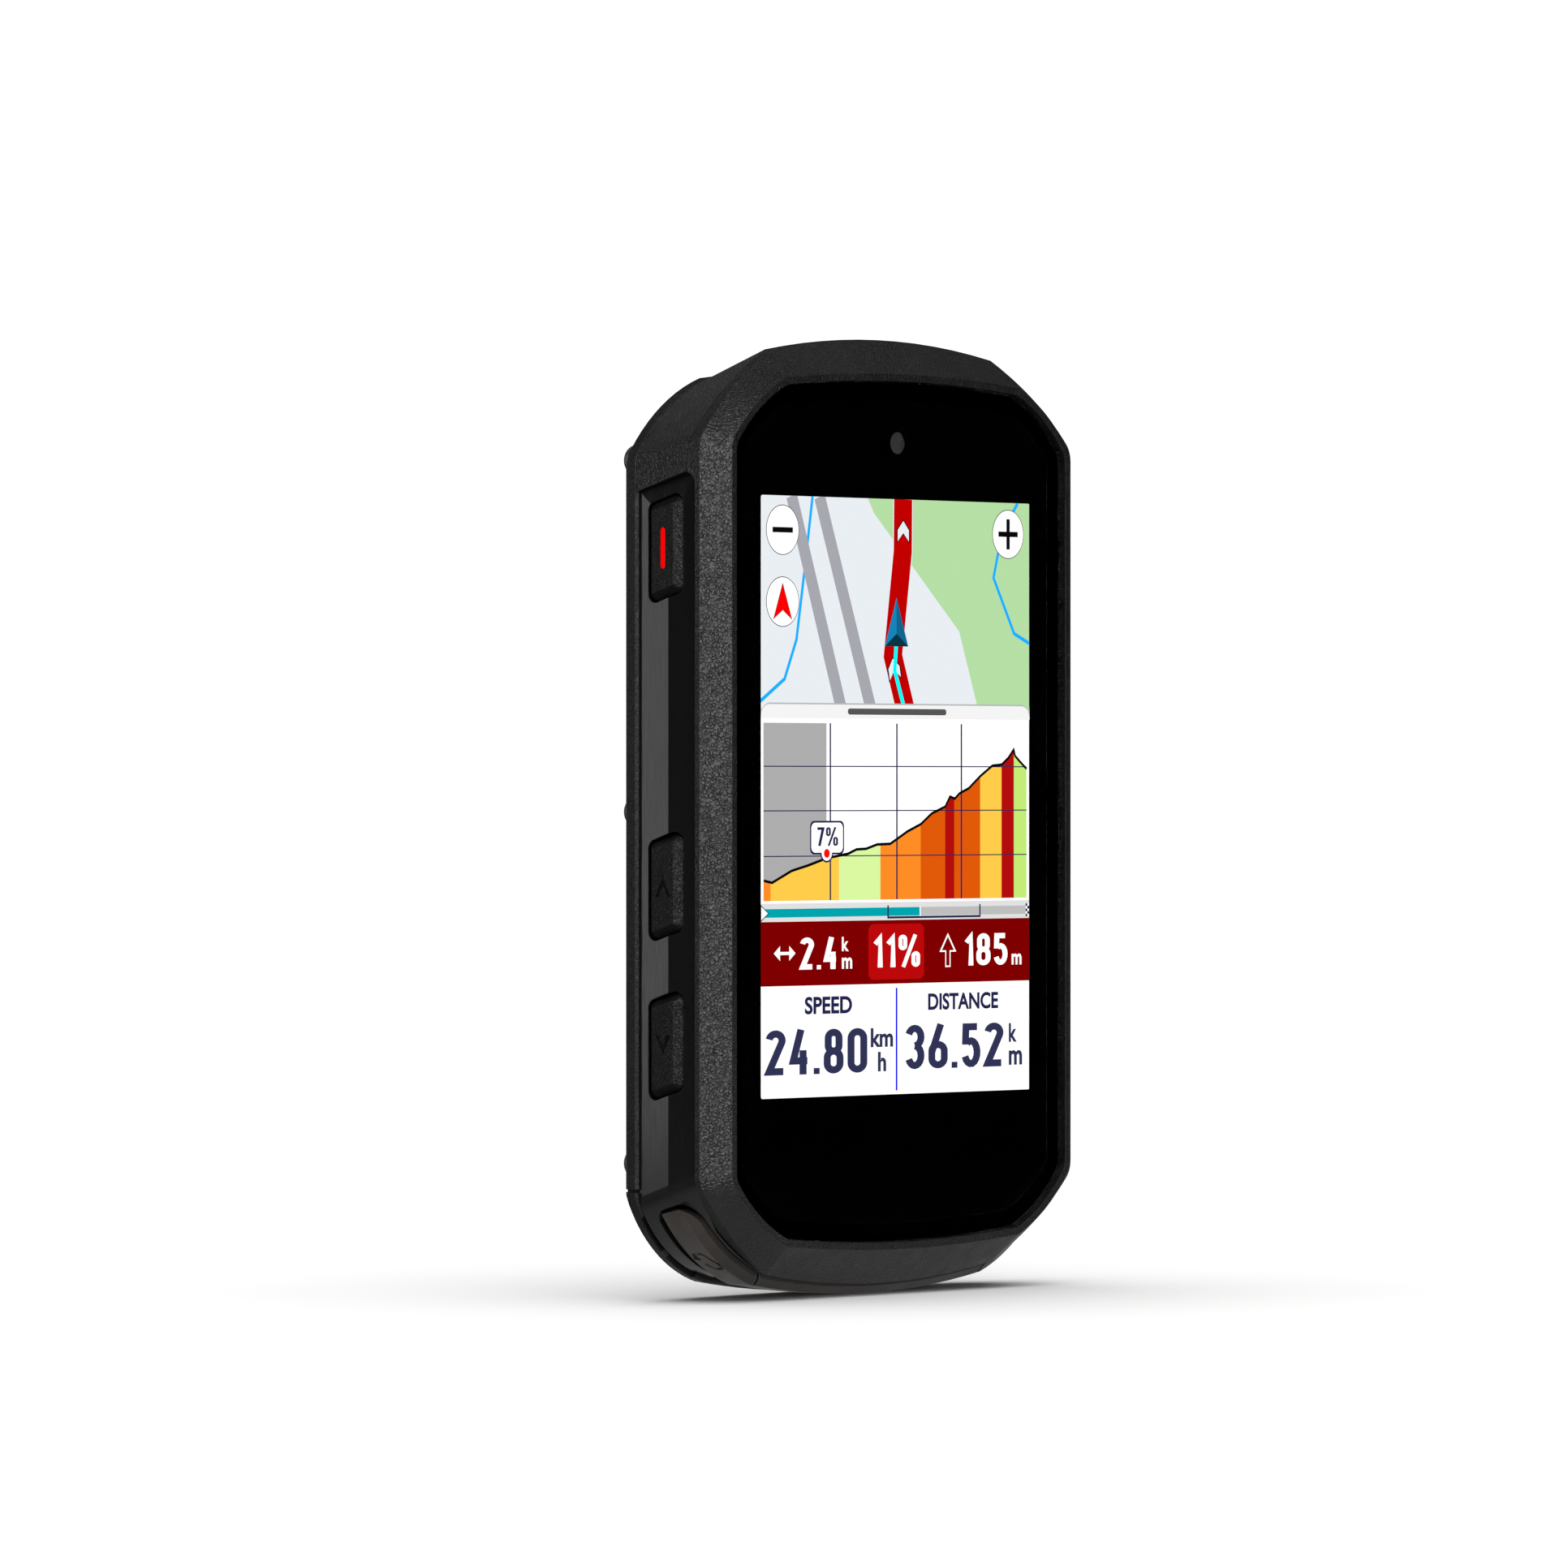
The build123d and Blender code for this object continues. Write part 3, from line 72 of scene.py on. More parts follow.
def add_node(tree, kind, inputs=None, **settings):
    """A shader node with its settings made and its inputs set or linked."""
    made = tree.nodes.new(kind)
    for name, value in settings.items():
        setattr(made, name, value)
    for name, value in (inputs or {}).items():
        if isinstance(value, bpy.types.NodeSocket):
            tree.links.new(value, made.inputs[name])
        else:
            made.inputs[name].default_value = value
    return made


def new_material(name):
    """A Principled material, its node tree and its shader."""
    material = bpy.data.materials.new(name)
    material.use_nodes = True
    return material, material.node_tree, material.node_tree.nodes["Principled BSDF"]


def in_mm(tree, stretch=(1, 1, 1)):
    """The piece's own coordinates in millimetres, stretched along its axes."""
    place = add_node(tree, "ShaderNodeTexCoord")
    scale = [1000 * s for s in stretch]
    return add_node(
        tree, "ShaderNodeMapping", {"Vector": place.outputs["Object"], "Scale": scale}
    ).outputs["Vector"]


def noise(tree, where, per_mm, detail=2.0):
    """Smooth noise with so many bumps per millimetre, from 0 to 1."""
    made = add_node(tree, "ShaderNodeTexNoise", {"Vector": where, "Scale": per_mm, "Detail": detail})
    return made.outputs["Fac"]


def ramp(tree, value, low, high, out_low, out_high):
    """value's stretch from low to high, mapped on out_low to out_high and clamped."""
    made = add_node(
        tree,
        "ShaderNodeMapRange",
        {"Value": value, "From Min": low, "From Max": high, "To Min": out_low, "To Max": out_high},
    )
    return made.outputs["Result"]


def math_node(tree, operation, first, second):
    """The result of a sum; each side is a socket or a number."""
    made = add_node(tree, "ShaderNodeMath", operation=operation)
    for socket, value in zip(made.inputs, (first, second)):
        if isinstance(value, bpy.types.NodeSocket):
            tree.links.new(value, socket)
        else:
            socket.default_value = value
    return made.outputs["Value"]


def mix_colour(tree, factor, first, second):
    """Two colours mixed by a factor; each is a socket or three numbers."""
    made = add_node(tree, "ShaderNodeMix", data_type="RGBA")
    tree.links.new(factor, made.inputs["Factor"])
    for socket, value in zip((made.inputs[6], made.inputs[7]), (first, second)):
        if isinstance(value, bpy.types.NodeSocket):
            tree.links.new(value, socket)
        else:
            socket.default_value = (*value, 1)
    return made.outputs[2]


def edge_mask(tree, radius):
    """The normal rounded over edges by radius, and how near an edge a point is, 0 to 1."""
    rounded = add_node(tree, "ShaderNodeBevel", {"Radius": radius}, samples=4).outputs["Normal"]
    flat = add_node(tree, "ShaderNodeNewGeometry").outputs["Normal"]
    along = add_node(tree, "ShaderNodeVectorMath", operation="DOT_PRODUCT")
    tree.links.new(rounded, along.inputs[0])
    tree.links.new(flat, along.inputs[1])
    return rounded, ramp(tree, along.outputs["Value"], 0.995, 0.9, 0.0, 1.0)


# ------------------------------------------------------------------- materials


def grain_height(tree, cell_mm):
    """Leather-like moulded grain: rounded cells of a warped Voronoi pattern."""
    place = in_mm(tree)
    warp = add_node(tree, "ShaderNodeTexNoise", {"Vector": place, "Scale": 1 / cell_mm, "Detail": 1.0})
    moved = add_node(tree, "ShaderNodeVectorMath", operation="MULTIPLY_ADD")
    tree.links.new(warp.outputs["Color"], moved.inputs[0])
    moved.inputs[1].default_value = [0.8 * cell_mm] * 3
    tree.links.new(place, moved.inputs[2])
    cells = add_node(
        tree,
        "ShaderNodeTexVoronoi",
        {"Vector": moved.outputs["Vector"], "Scale": 1 / cell_mm, "Randomness": 1.0},
        feature="DISTANCE_TO_EDGE",
    )
    tops = ramp(tree, cells.outputs["Distance"], 0.0, 0.32, 0.0, 1.0)
    fine = noise(tree, place, 4 / cell_mm)
    return math_node(tree, "ADD", tops, math_node(tree, "MULTIPLY", fine, 0.15))


def moulded(name, colour, roughness, cell_mm, depth_mm, edge_mm=0.12, specular=0.5):
    """Moulded plastic with grain, slight mottling, and edges rubbed smoother and paler; the paler edge
    colour is partly wear and partly a painted highlight.
    """
    material, tree, shader = new_material(name)
    shader.inputs["Specular IOR Level"].default_value = specular
    place = in_mm(tree)
    rounded, edges = edge_mask(tree, edge_mm * MM)
    mottle = noise(tree, place, 0.25, detail=4.0)
    dark = [c * 0.8 for c in colour]
    pale = [c * 1.25 for c in colour]
    # The paler edge colour is partly rubbed wear and partly a painted highlight.
    wear_and_highlight_colour = [c * 4 + 0.008 for c in colour]
    body = mix_colour(tree, ramp(tree, mottle, 0.3, 0.7, 0.0, 1.0), dark, pale)
    wear_and_highlight = math_node(tree, "MULTIPLY", edges, ramp(tree, noise(tree, place, 1.1), 0.35, 0.7, 0.2, 0.5))
    tree.links.new(mix_colour(tree, wear_and_highlight, body, wear_and_highlight_colour), shader.inputs["Base Color"])
    rough = ramp(tree, noise(tree, place, 0.6, detail=5.0), 0.3, 0.7, roughness - 0.06, roughness + 0.06)
    smoother = math_node(tree, "MULTIPLY", wear_and_highlight, 0.12)
    tree.links.new(math_node(tree, "SUBTRACT", rough, smoother), shader.inputs["Roughness"])
    grain = grain_height(tree, cell_mm)
    relief = {"Strength": 1.0, "Distance": depth_mm * MM, "Height": grain, "Normal": rounded}
    bump = add_node(tree, "ShaderNodeBump", relief)
    tree.links.new(bump.outputs["Normal"], shader.inputs["Normal"])
    return material


def glossy(name, colour, roughness=0.12, edge_mm=0.1, specular=0.5, painted_glow=0.0):
    """Polished plastic with faint moulding flow, fine scuffs, and soft edges painted paler, partly wear
    and partly a painted highlight; an optional painted glow makes it shine of its own, though it is no
    lamp.
    """
    material, tree, shader = new_material(name)
    shader.inputs["Specular IOR Level"].default_value = specular
    # A painted glow: emission that makes the plastic shine of its own, though it is no lamp.
    shader.inputs["Emission Color"].default_value = (*colour, 1)
    shader.inputs["Emission Strength"].default_value = painted_glow
    place = in_mm(tree)
    rounded, edges = edge_mask(tree, edge_mm * MM)
    flow = noise(tree, place, 0.12, detail=3.0)
    body = mix_colour(tree, flow, [c * 0.85 for c in colour], [c * 1.15 for c in colour])
    # The paler edge colour is partly rubbed wear and partly a painted highlight.
    wear_and_highlight = math_node(tree, "MULTIPLY", edges, 0.35)
    wear_and_highlight_colour = [c * 1.6 + 0.004 for c in colour]
    tree.links.new(mix_colour(tree, wear_and_highlight, body, wear_and_highlight_colour), shader.inputs["Base Color"])
    scuffs = noise(tree, in_mm(tree, (1, 6, 0.35)), 1.4, detail=6.0)
    rough = ramp(tree, scuffs, 0.45, 0.75, roughness, roughness + 0.12)
    tree.links.new(rough, shader.inputs["Roughness"])
    relief = {"Strength": 0.6, "Distance": 0.004 * MM, "Height": scuffs, "Normal": rounded}
    bump = add_node(tree, "ShaderNodeBump", relief)
    tree.links.new(bump.outputs["Normal"], shader.inputs["Normal"])
    return material


def metal(name, colour, roughness, stretch=(1, 12, 1), black=False):
    """Brushed or coated metal, with lines along the short axes of stretch, and edges painted paler,
    partly wear and partly a painted highlight.
    """
    material, tree, shader = new_material(name)
    shader.inputs["Metallic"].default_value = 0.0 if black else 1.0
    rounded, edges = edge_mask(tree, 0.08 * MM)
    lines = noise(tree, in_mm(tree, stretch), 3.0, detail=5.0)
    body = mix_colour(tree, lines, [c * 0.8 for c in colour], [min(1, c * 1.15) for c in colour])
    # The paler edge colour is partly rubbed wear and partly a painted highlight.
    wear_and_highlight = math_node(tree, "MULTIPLY", edges, 0.5)
    wear_and_highlight_colour = [c * 1.4 for c in colour]
    tree.links.new(mix_colour(tree, wear_and_highlight, body, wear_and_highlight_colour), shader.inputs["Base Color"])
    rough = ramp(tree, lines, 0.3, 0.7, roughness - 0.08, roughness + 0.1)
    tree.links.new(rough, shader.inputs["Roughness"])
    relief = {"Strength": 0.5, "Distance": 0.006 * MM, "Height": lines, "Normal": rounded}
    bump = add_node(tree, "ShaderNodeBump", relief)
    tree.links.new(bump.outputs["Normal"], shader.inputs["Normal"])
    return material


def board(name, colour, line_colour, cell_mm):
    """Solder mask over copper: a pale network of tracks under a satin colour."""
    material, tree, shader = new_material(name)
    place = in_mm(tree)
    cells = add_node(
        tree,
        "ShaderNodeTexVoronoi",
        {"Vector": place, "Scale": 1 / cell_mm, "Randomness": 0.35},
        feature="DISTANCE_TO_EDGE",
        distance="CHEBYCHEV",
    )
    tracks = ramp(tree, cells.outputs["Distance"], 0.04, 0.08, 1.0, 0.0)
    tree.links.new(mix_colour(tree, tracks, colour, line_colour), shader.inputs["Base Color"])
    tree.links.new(ramp(tree, noise(tree, place, 1.5), 0.3, 0.7, 0.35, 0.5), shader.inputs["Roughness"])
    bump = add_node(tree, "ShaderNodeBump", {"Strength": 0.8, "Distance": 0.02 * MM, "Height": tracks})
    tree.links.new(bump.outputs["Normal"], shader.inputs["Normal"])
    return material


def glass(name):
    """Coated cover glass: clear, hardly reflecting, with a trace of smear in its gloss."""
    material, tree, shader = new_material(name)
    shader.inputs["Base Color"].default_value = (1, 1, 1, 1)
    shader.inputs["Transmission Weight"].default_value = 1.0
    shader.inputs["IOR"].default_value = 1.03
    shader.inputs["Specular IOR Level"].default_value = 0.0
    smear = noise(tree, in_mm(tree, (1, 1, 0.3)), 0.12, detail=6.0)
    tree.links.new(ramp(tree, smear, 0.4, 0.8, 0.0, 0.012), shader.inputs["Roughness"])
    return material


# The lit screen's width and height in mm, the pitch of its pixels, and how bright it is
SCREEN_W, SCREEN_H = 39.3, 56.2
PIXEL_MM = SCREEN_W / 420
SCREEN_STRENGTH = 1.07


def lit(name, colour):
    """One colour of the lit picture, broken into the display's fine square pixels."""
    material, tree, shader = new_material(name)
    shader.inputs["Base Color"].default_value = (0, 0, 0, 1)
    shader.inputs["Specular IOR Level"].default_value = 0.0
    split = add_node(tree, "ShaderNodeSeparateXYZ", {"Vector": in_mm(tree)})
    flat = add_node(tree, "ShaderNodeCombineXYZ", {"X": split.outputs["X"], "Y": split.outputs["Z"]})
    pixels = add_node(
        tree,
        "ShaderNodeTexBrick",
        {
            "Vector": flat.outputs["Vector"],
            "Color1": (*colour, 1),
            "Color2": (*colour, 1),
            "Mortar": (*[c * 0.9 for c in colour], 1),
            "Scale": 1.0,
            "Mortar Size": 0.06 * PIXEL_MM,
            "Brick Width": PIXEL_MM,
            "Row Height": PIXEL_MM,
        },
        offset=0.0,
    )
    tree.links.new(pixels.outputs["Color"], shader.inputs["Emission Color"])
    shader.inputs["Emission Strength"].default_value = SCREEN_STRENGTH
    return material


def ink(name):
    """Black ink printed on the back of the glass."""
    material, tree, shader = new_material(name)
    shader.inputs["Specular IOR Level"].default_value = 0.0
    speckle = noise(tree, in_mm(tree), 6.0, detail=3.0)
    tree.links.new(mix_colour(tree, speckle, [0.0001] * 3, [0.0003] * 3), shader.inputs["Base Color"])
    tree.links.new(ramp(tree, speckle, 0.3, 0.7, 0.5, 0.65), shader.inputs["Roughness"])
    return material


SLOT_MATERIALS = {
    "frame_shell": moulded("frame_grain", [0.008] * 3, 0.4, 0.34, 0.042, specular=0.42, edge_mm=0.12),
    "gloss_band": glossy("band_gloss", [0.008] * 3, roughness=0.16),
    "key_grain": moulded("key_grain", [0.006] * 3, 0.42, 0.3, 0.04, specular=0.22),
    "key_taupe": moulded("taupe_satin", [0.038, 0.031, 0.026], 0.4, 0.3, 0.008, specular=0.4),
    # The red inlay gets a painted glow: it shines of its own, though it is no lamp, to look brighter red.
    "inlay_red": glossy(
        "inlay_red", [0.72, 0.0, 0.0], roughness=0.3, edge_mm=0.05, specular=0.02, painted_glow=1.15
    ),
    "rear_plastic": moulded("rear_grain", [0.007] * 3, 0.48, 0.24, 0.03, specular=0.28),
    "dark_screws": metal("screw_coating", [0.03] * 3, 0.35, stretch=(4, 1, 4), black=True),
    "cover_glass": glass("cover_glass"),
    "display": board("display_glass", [0.02, 0.021, 0.024], [0.03, 0.032, 0.036], 0.3),
    "reflector": moulded("diffuser_tray", [0.7, 0.7, 0.68], 0.4, 0.5, 0.01),
    "elastomer": moulded("elastomer", [0.02] * 3, 0.7, 0.15, 0.01),
    "circuit_board": board("solder_mask", [0.01, 0.09, 0.035], [0.03, 0.2, 0.08], 1.1),
    "flex_circuit": board("amber_film", [0.35, 0.13, 0.02], [0.6, 0.3, 0.08], 0.5),
    "steel": metal("plain_steel", [0.55, 0.55, 0.56], 0.3),
    "magnesium": moulded("cast_magnesium", [0.3, 0.3, 0.31], 0.45, 0.3, 0.02),
    "switch_body": moulded("switch_body", [0.02] * 3, 0.4, 0.2, 0.006),
    "ceramic": moulded("fired_ceramic", [0.6, 0.56, 0.46], 0.6, 0.12, 0.004),
    "cell_pouch": metal("foil_pouch", [0.6, 0.61, 0.62], 0.35, stretch=(3, 1, 0.6)),
    "foam": moulded("closed_foam", [0.03] * 3, 0.85, 0.12, 0.02),
    "membrane": moulded("breathable_film", [0.7] * 3, 0.7, 0.06, 0.004),
}

for row in frame["record"]["subparts"]:
    mesh = nodes[row["node"]].data
    mesh.materials.clear()
    mesh.materials.append(SLOT_MATERIALS[row["material_slot"]])


# ------------------------------------------------------- flat pieces and layers

panel_low, panel_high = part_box("display_panel")
glass_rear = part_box("cover_glass")[1].y
SCREEN_LIFT = 0.4
SCREEN_X = (panel_low.x + panel_high.x) / 2
SCREEN_Z = (panel_low.z + panel_high.z) / 2 + SCREEN_LIFT * MM
LAYERS = 12
LAYER_STEP = (panel_low.y - glass_rear) / (LAYERS + 1)


def layer_y(layer):
    """Depth of a picture layer: layer 0 lies just on the panel, higher ones further forward."""
    return panel_low.y - (layer + 0.5) * LAYER_STEP


def flat_piece(name, shapes, layer, material):
    """A flat piece of shapes in mm round the screen's middle; a shape is an outline, then holes."""
    places = []
    faces = []
    for loops in shapes:
        start = len(places)
        flat = [[Vector((x, z, 0)) for x, z in loop] for loop in loops]
        for loop in flat:
            places += [(SCREEN_X + p.x * MM, layer_y(layer), SCREEN_Z + p.y * MM) for p in loop]
        faces += [[start + i for i in triangle] for triangle in tessellate_polygon(flat)]
    return mesh_piece(name, places, faces, material)


def mesh_piece(name, places, faces, material):
    """A mesh that rides on the case and takes the material it is given."""
    mesh = bpy.data.meshes.new(name)
    mesh.from_pydata(places, [], faces)
    mesh.materials.append(material)
    piece = bpy.data.objects.new(name, mesh)
    bpy.context.scene.collection.objects.link(piece)
    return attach(piece, "case")


CORNER_STEPS = 8
ARC_STEPS = 14


def box_loop(left, low, right, high, corner=0.0):
    """A rectangle's outline with round corners."""
    if not corner:
        return [(left, low), (right, low), (right, high), (left, high)]
    loop = []
    centres = (
        (right - corner, low + corner, -90),
        (right - corner, high - corner, 0),
        (left + corner, high - corner, 90),
        (left + corner, low + corner, 180),
    )
    for x, z, first in centres:
        for step in range(CORNER_STEPS + 1):
            angle = math.radians(first + 90 * step / CORNER_STEPS)
            loop.append((x + corner * math.cos(angle), z + corner * math.sin(angle)))
    return loop


def circle_loop(x, z, radius, steps=64):
    """A circle's outline, in straight steps."""
    turn = 2 * math.pi / steps
    return [(x + radius * math.cos(i * turn), z + radius * math.sin(i * turn)) for i in range(steps)]


def stroke(points, width):
    """The outline of a line of constant width through points, with mitred corners."""
    left = []
    right = []
    for i, point in enumerate(points):
        here = Vector(point)
        before = (here - Vector(points[i - 1])).normalized() if i else None
        after = (Vector(points[i + 1]) - here).normalized() if i + 1 < len(points) else None
        along = ((before or after) + (after or before)).normalized()
        normal = Vector((-along.y, along.x))
        reach = width / 2 / max(0.5, abs(along.dot(after or before)))
        left.append(tuple(here + normal * reach))
        right.append(tuple(here - normal * reach))
    return left + right[::-1]


LETTER_WEIGHT = 0.03


def lettering(name, words, box, layer, material):
    """Words as a flat piece that fills a box of left, low, right and high, in mm."""
    curve = bpy.data.curves.new(name, "FONT")
    curve.body = words
    curve.offset = LETTER_WEIGHT
    curve.resolution_u = 6
    source = bpy.data.objects.new(name + "_source", curve)
    mesh = bpy.data.meshes.new_from_object(source)
    bpy.data.objects.remove(source)
    flat = [v.co.xy for v in mesh.vertices]
    low = Vector((min(p.x for p in flat), min(p.y for p in flat)))
    size = Vector((max(p.x for p in flat), max(p.y for p in flat))) - low
    left, bottom, right, top = box
    places = [
        (
            SCREEN_X + (left + (p.x - low.x) / size.x * (right - left)) * MM,
            layer_y(layer),
            SCREEN_Z + (bottom + (p.y - low.y) / size.y * (top - bottom)) * MM,
        )
        for p in flat
    ]
    faces = [list(p.vertices) for p in mesh.polygons]
    bpy.data.meshes.remove(mesh)
    return mesh_piece(name, places, faces, material)


def arc(x, z, half, high, start, stop):
    """Points along part of an ellipse between two angles in degrees."""
    turns = [math.radians(start + (stop - start) * i / ARC_STEPS) for i in range(ARC_STEPS + 1)]
    return [(x + half * math.cos(turn), z + high * math.sin(turn)) for turn in turns]


def ring(left, low, right, high, line):
    """A ring of even width with round ends: its outline and its hole."""
    corner = min(right - left, high - low) / 2
    hole = box_loop(left + line, low + line, right - line, high - line, corner - line)
    return [box_loop(left, low, right, high, corner), hole]


def figure(sign, left, low, w, h, line):
    """The shapes of one figure drawn with an even line in a box w wide and h high."""

    def at(across, up):
        """A point of the line's middle; 0 to 1 runs from side to side and from foot to top."""
        return left + line / 2 + across * (w - line), low + line / 2 + up * (h - line)

    half = (w - line) / 2
    middle, top = at(0.5, 1.0)
    foot = low + line / 2
    if sign == "0":
        return [ring(left, low, left + w, low + h, line)]
    if sign == "1":
        return [[stroke([at(0.0, 0.76), at(1.0, 1.0), (left + w - line / 2, low)], line)]]
    if sign == "2":
        crown = arc(middle, top - half, half, half, 170, -25)
        return [[stroke([*crown, at(0.0, 0.0), at(1.1, 0.0)], line)]]
    if sign == "3":
        waist = at(0.0, 0.53)[1]
        upper = arc(middle, (waist + top) / 2, half, (top - waist) / 2, 160, -90)
        lower = arc(middle, (waist + foot) / 2, half, (waist - foot) / 2, 90, -160)
        return [[stroke(upper, line)], [stroke(lower, line)]]
    if sign == "4":
        slant = [at(0.6, 1.1), at(0.0, 0.27), at(1.1, 0.27)]
        stem = [(at(0.76, 0.0)[0], low), at(0.76, 0.55)]
        return [[stroke(slant, line)], [stroke(stem, line)]]
    if sign == "5":
        bowl = arc(middle, at(0.0, 0.31)[1], half, at(0.0, 0.31)[1] - foot, 128, -160)
        return [[stroke([at(1.0, 1.0), at(0.1, 1.0), at(0.06, 0.52)], line)], [stroke(bowl, line)]]
    if sign == "6":
        stem = [(at(0.72, 1.0)[0], low + h), at(0.02, 0.36)]
        return [ring(left, low, left + w, low + 0.62 * h, line), [stroke(stem, line)]]
    if sign == "7":
        return [[stroke([at(0.0, 1.0), at(1.0, 1.0), (at(0.35, 0.0)[0], low)], line)]]
    if sign == "8":
        upper = ring(left + 0.05 * w, low + h / 2 - line / 2, left + 0.95 * w, low + h, line)
        return [upper, ring(left, low, left + w, low + h / 2 + line / 2, line)]
    if sign == "%":
        thin = 0.75 * line
        upper = ring(left, low + 0.52 * h, left + 0.4 * w, low + h, thin)
        lower = ring(left + 0.6 * w, low, left + w, low + 0.48 * h, thin)
        slash = [(left + 0.22 * w, low), (left + 0.78 * w, low + h)]
        return [upper, lower, [stroke(slash, thin)]]
    return [[box_loop(left, low, left + w, low + w)]]


# Widths of the narrower and wider signs in figures, and the space between two signs
SIGN_WIDTHS = {"1": 0.66, ".": 0.3, "%": 1.45}
SIGN_SPACE = 0.2
FIGURE_STRETCH = 1.5


def figures(name, words, box, layer, material, line):
    """A number as a flat piece that fills a box; upright lines are wider than level ones."""
    left, low, right, high = box
    widths = [SIGN_WIDTHS.get(sign, 1.0) for sign in words]
    unit = (right - left) / FIGURE_STRETCH / (sum(widths) + SIGN_SPACE * (len(words) - 1))
    shapes = []
    start = 0.0
    for sign, width in zip(words, widths):
        for loops in figure(sign, start, low, width * unit, high - low, line):
            shapes.append([[(left + x * FIGURE_STRETCH, z) for x, z in loop] for loop in loops])
        start += (width + SIGN_SPACE) * unit
    return flat_piece(name, shapes, layer, material)


# ------------------------------------------------------------- printed border

SENSOR_HOLE_MM = 1.03
NEARLY = 1e-6
sensor_low, sensor_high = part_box("light_sensor")


def glass_outline(inset_mm):
    """The glass's rear outline in mm round the screen's middle, pulled in towards it."""
    rear = [v.co for v in nodes["cover_glass"].data.vertices if v.co.y > glass_rear - NEARLY]
    points = {(round((p.x - SCREEN_X) / MM, 3), round((p.z - SCREEN_Z) / MM, 3)) for p in rear}
    ordered = sorted(points, key=lambda p: math.atan2(p[1], p[0]))
    share = 1 - inset_mm / (SCREEN_W / 2)
    return [(x * share, z * share) for x, z in ordered]


half_w, half_h = SCREEN_W / 2, SCREEN_H / 2
sensor_z = ((sensor_low.z + sensor_high.z) / 2 - SCREEN_Z) / MM
border = [
    glass_outline(0.05),
    box_loop(-half_w, -half_h, half_w, half_h, 0.25),
    circle_loop(0, sensor_z, SENSOR_HOLE_MM),
]
flat_piece("printed_border", [border], LAYERS - 1, ink("border_ink"))

# ------------------------------------------------------------------ map picture

WHITE = lit("lit_white", srgb(255, 255, 255))
BLACK = lit("lit_black", srgb(8, 8, 10))
LAND = lit("lit_land", srgb(229, 234, 238))
WOOD = lit("lit_wood", srgb(178, 219, 162))
ROAD = lit("lit_road", srgb(164, 164, 172))
WATER = lit("lit_water", srgb(22, 174, 255))
ROUTE = lit("lit_route", srgb(190, 0, 0))
TRACK = lit("lit_track", srgb(0, 255, 255))
ARROW_LEFT = lit("lit_arrow_left", srgb(20, 130, 182))
ARROW_RIGHT = lit("lit_arrow_right", srgb(18, 98, 140))
ARROW_REAR = lit("lit_arrow_rear", srgb(8, 52, 66))
NEEDLE = lit("lit_needle", srgb(255, 0, 0))
MAP_LOW = 7.8

flat_piece("map_land", [[box_loop(-half_w, MAP_LOW, half_w, half_h)]], 0, LAND)
wood_edge = [(-4.2, half_h), (-3.3, 26.7), (2.3, 21.8), (9.2, 15.7), (12.2, MAP_LOW)]
flat_piece("map_wood", [[[*wood_edge, (half_w, MAP_LOW), (half_w, half_h)]]], 1, WOOD)
streams = [
    [(-12.2, half_h), (-13.4, 20.9), (-14.5, 14.7), (-16.2, 11.0), (-half_w, 8.9)],
    [(17.9, half_h), (15.5, 25.0), (14.3, 20.9), (17.4, 15.6), (half_w, 14.7)],
]
flat_piece("map_streams", [[stroke(line, 0.36)] for line in streams], 2, WATER)
roads = [[(-15.2, half_h), (-7.9, MAP_LOW)], [(-11.2, half_h), (-3.6, MAP_LOW)]]
flat_piece("map_roads", [[stroke(line, 1.55)] for line in roads], 3, ROAD)
route = [(0.9, half_h), (0.85, 23.2), (-0.6, 13.3), (1.4, MAP_LOW)]
flat_piece("map_route_edge", [[stroke(route, 2.9)]], 4, LAND)
flat_piece("map_route", [[stroke(route, 2.65)]], 5, ROUTE)


def arrow_head(x, z, half, high, notch, turn=0.0):
    """A notched arrow head pointing up, then turned by degrees."""
    shoulder = 0.1 * high
    left = [(-half, -high), (-half, shoulder)]
    points = [*left, (0, high), (half, shoulder), (half, -high), (0, -high + notch)]
    c, s = math.cos(math.radians(turn)), math.sin(math.radians(turn))
    return [(x + px * c - pz * s, z + px * s + pz * c) for px, pz in points]


signs = ((0.9, 25.1, 0.0), (-0.45, 12.1, 12.0))
edges = [[arrow_head(x, z, 0.97, 1.15, 0.85, turn)] for x, z, turn in signs]
heads = [[arrow_head(x, z, 0.82, 0.97, 0.8, turn)] for x, z, turn in signs]
flat_piece("route_sign_edges", edges, 6, BLACK)
flat_piece("route_signs", heads, 7, LAND)
flat_piece("map_track", [[stroke([(-0.1, 15.0), (-0.35, 11.9), (1.25, MAP_LOW)], 0.5)]], 8, TRACK)
flat_piece("position_left", [[[(-0.1, 18.8), (-1.8, 14.2), (-0.1, 15.4)]]], 9, ARROW_LEFT)
flat_piece("position_right", [[[(-0.1, 18.8), (-0.1, 15.4), (1.6, 14.2)]]], 9, ARROW_RIGHT)
flat_piece("position_rear", [[[(-0.1, 15.4), (-1.8, 14.2), (1.6, 14.2)]]], 9, ARROW_REAR)

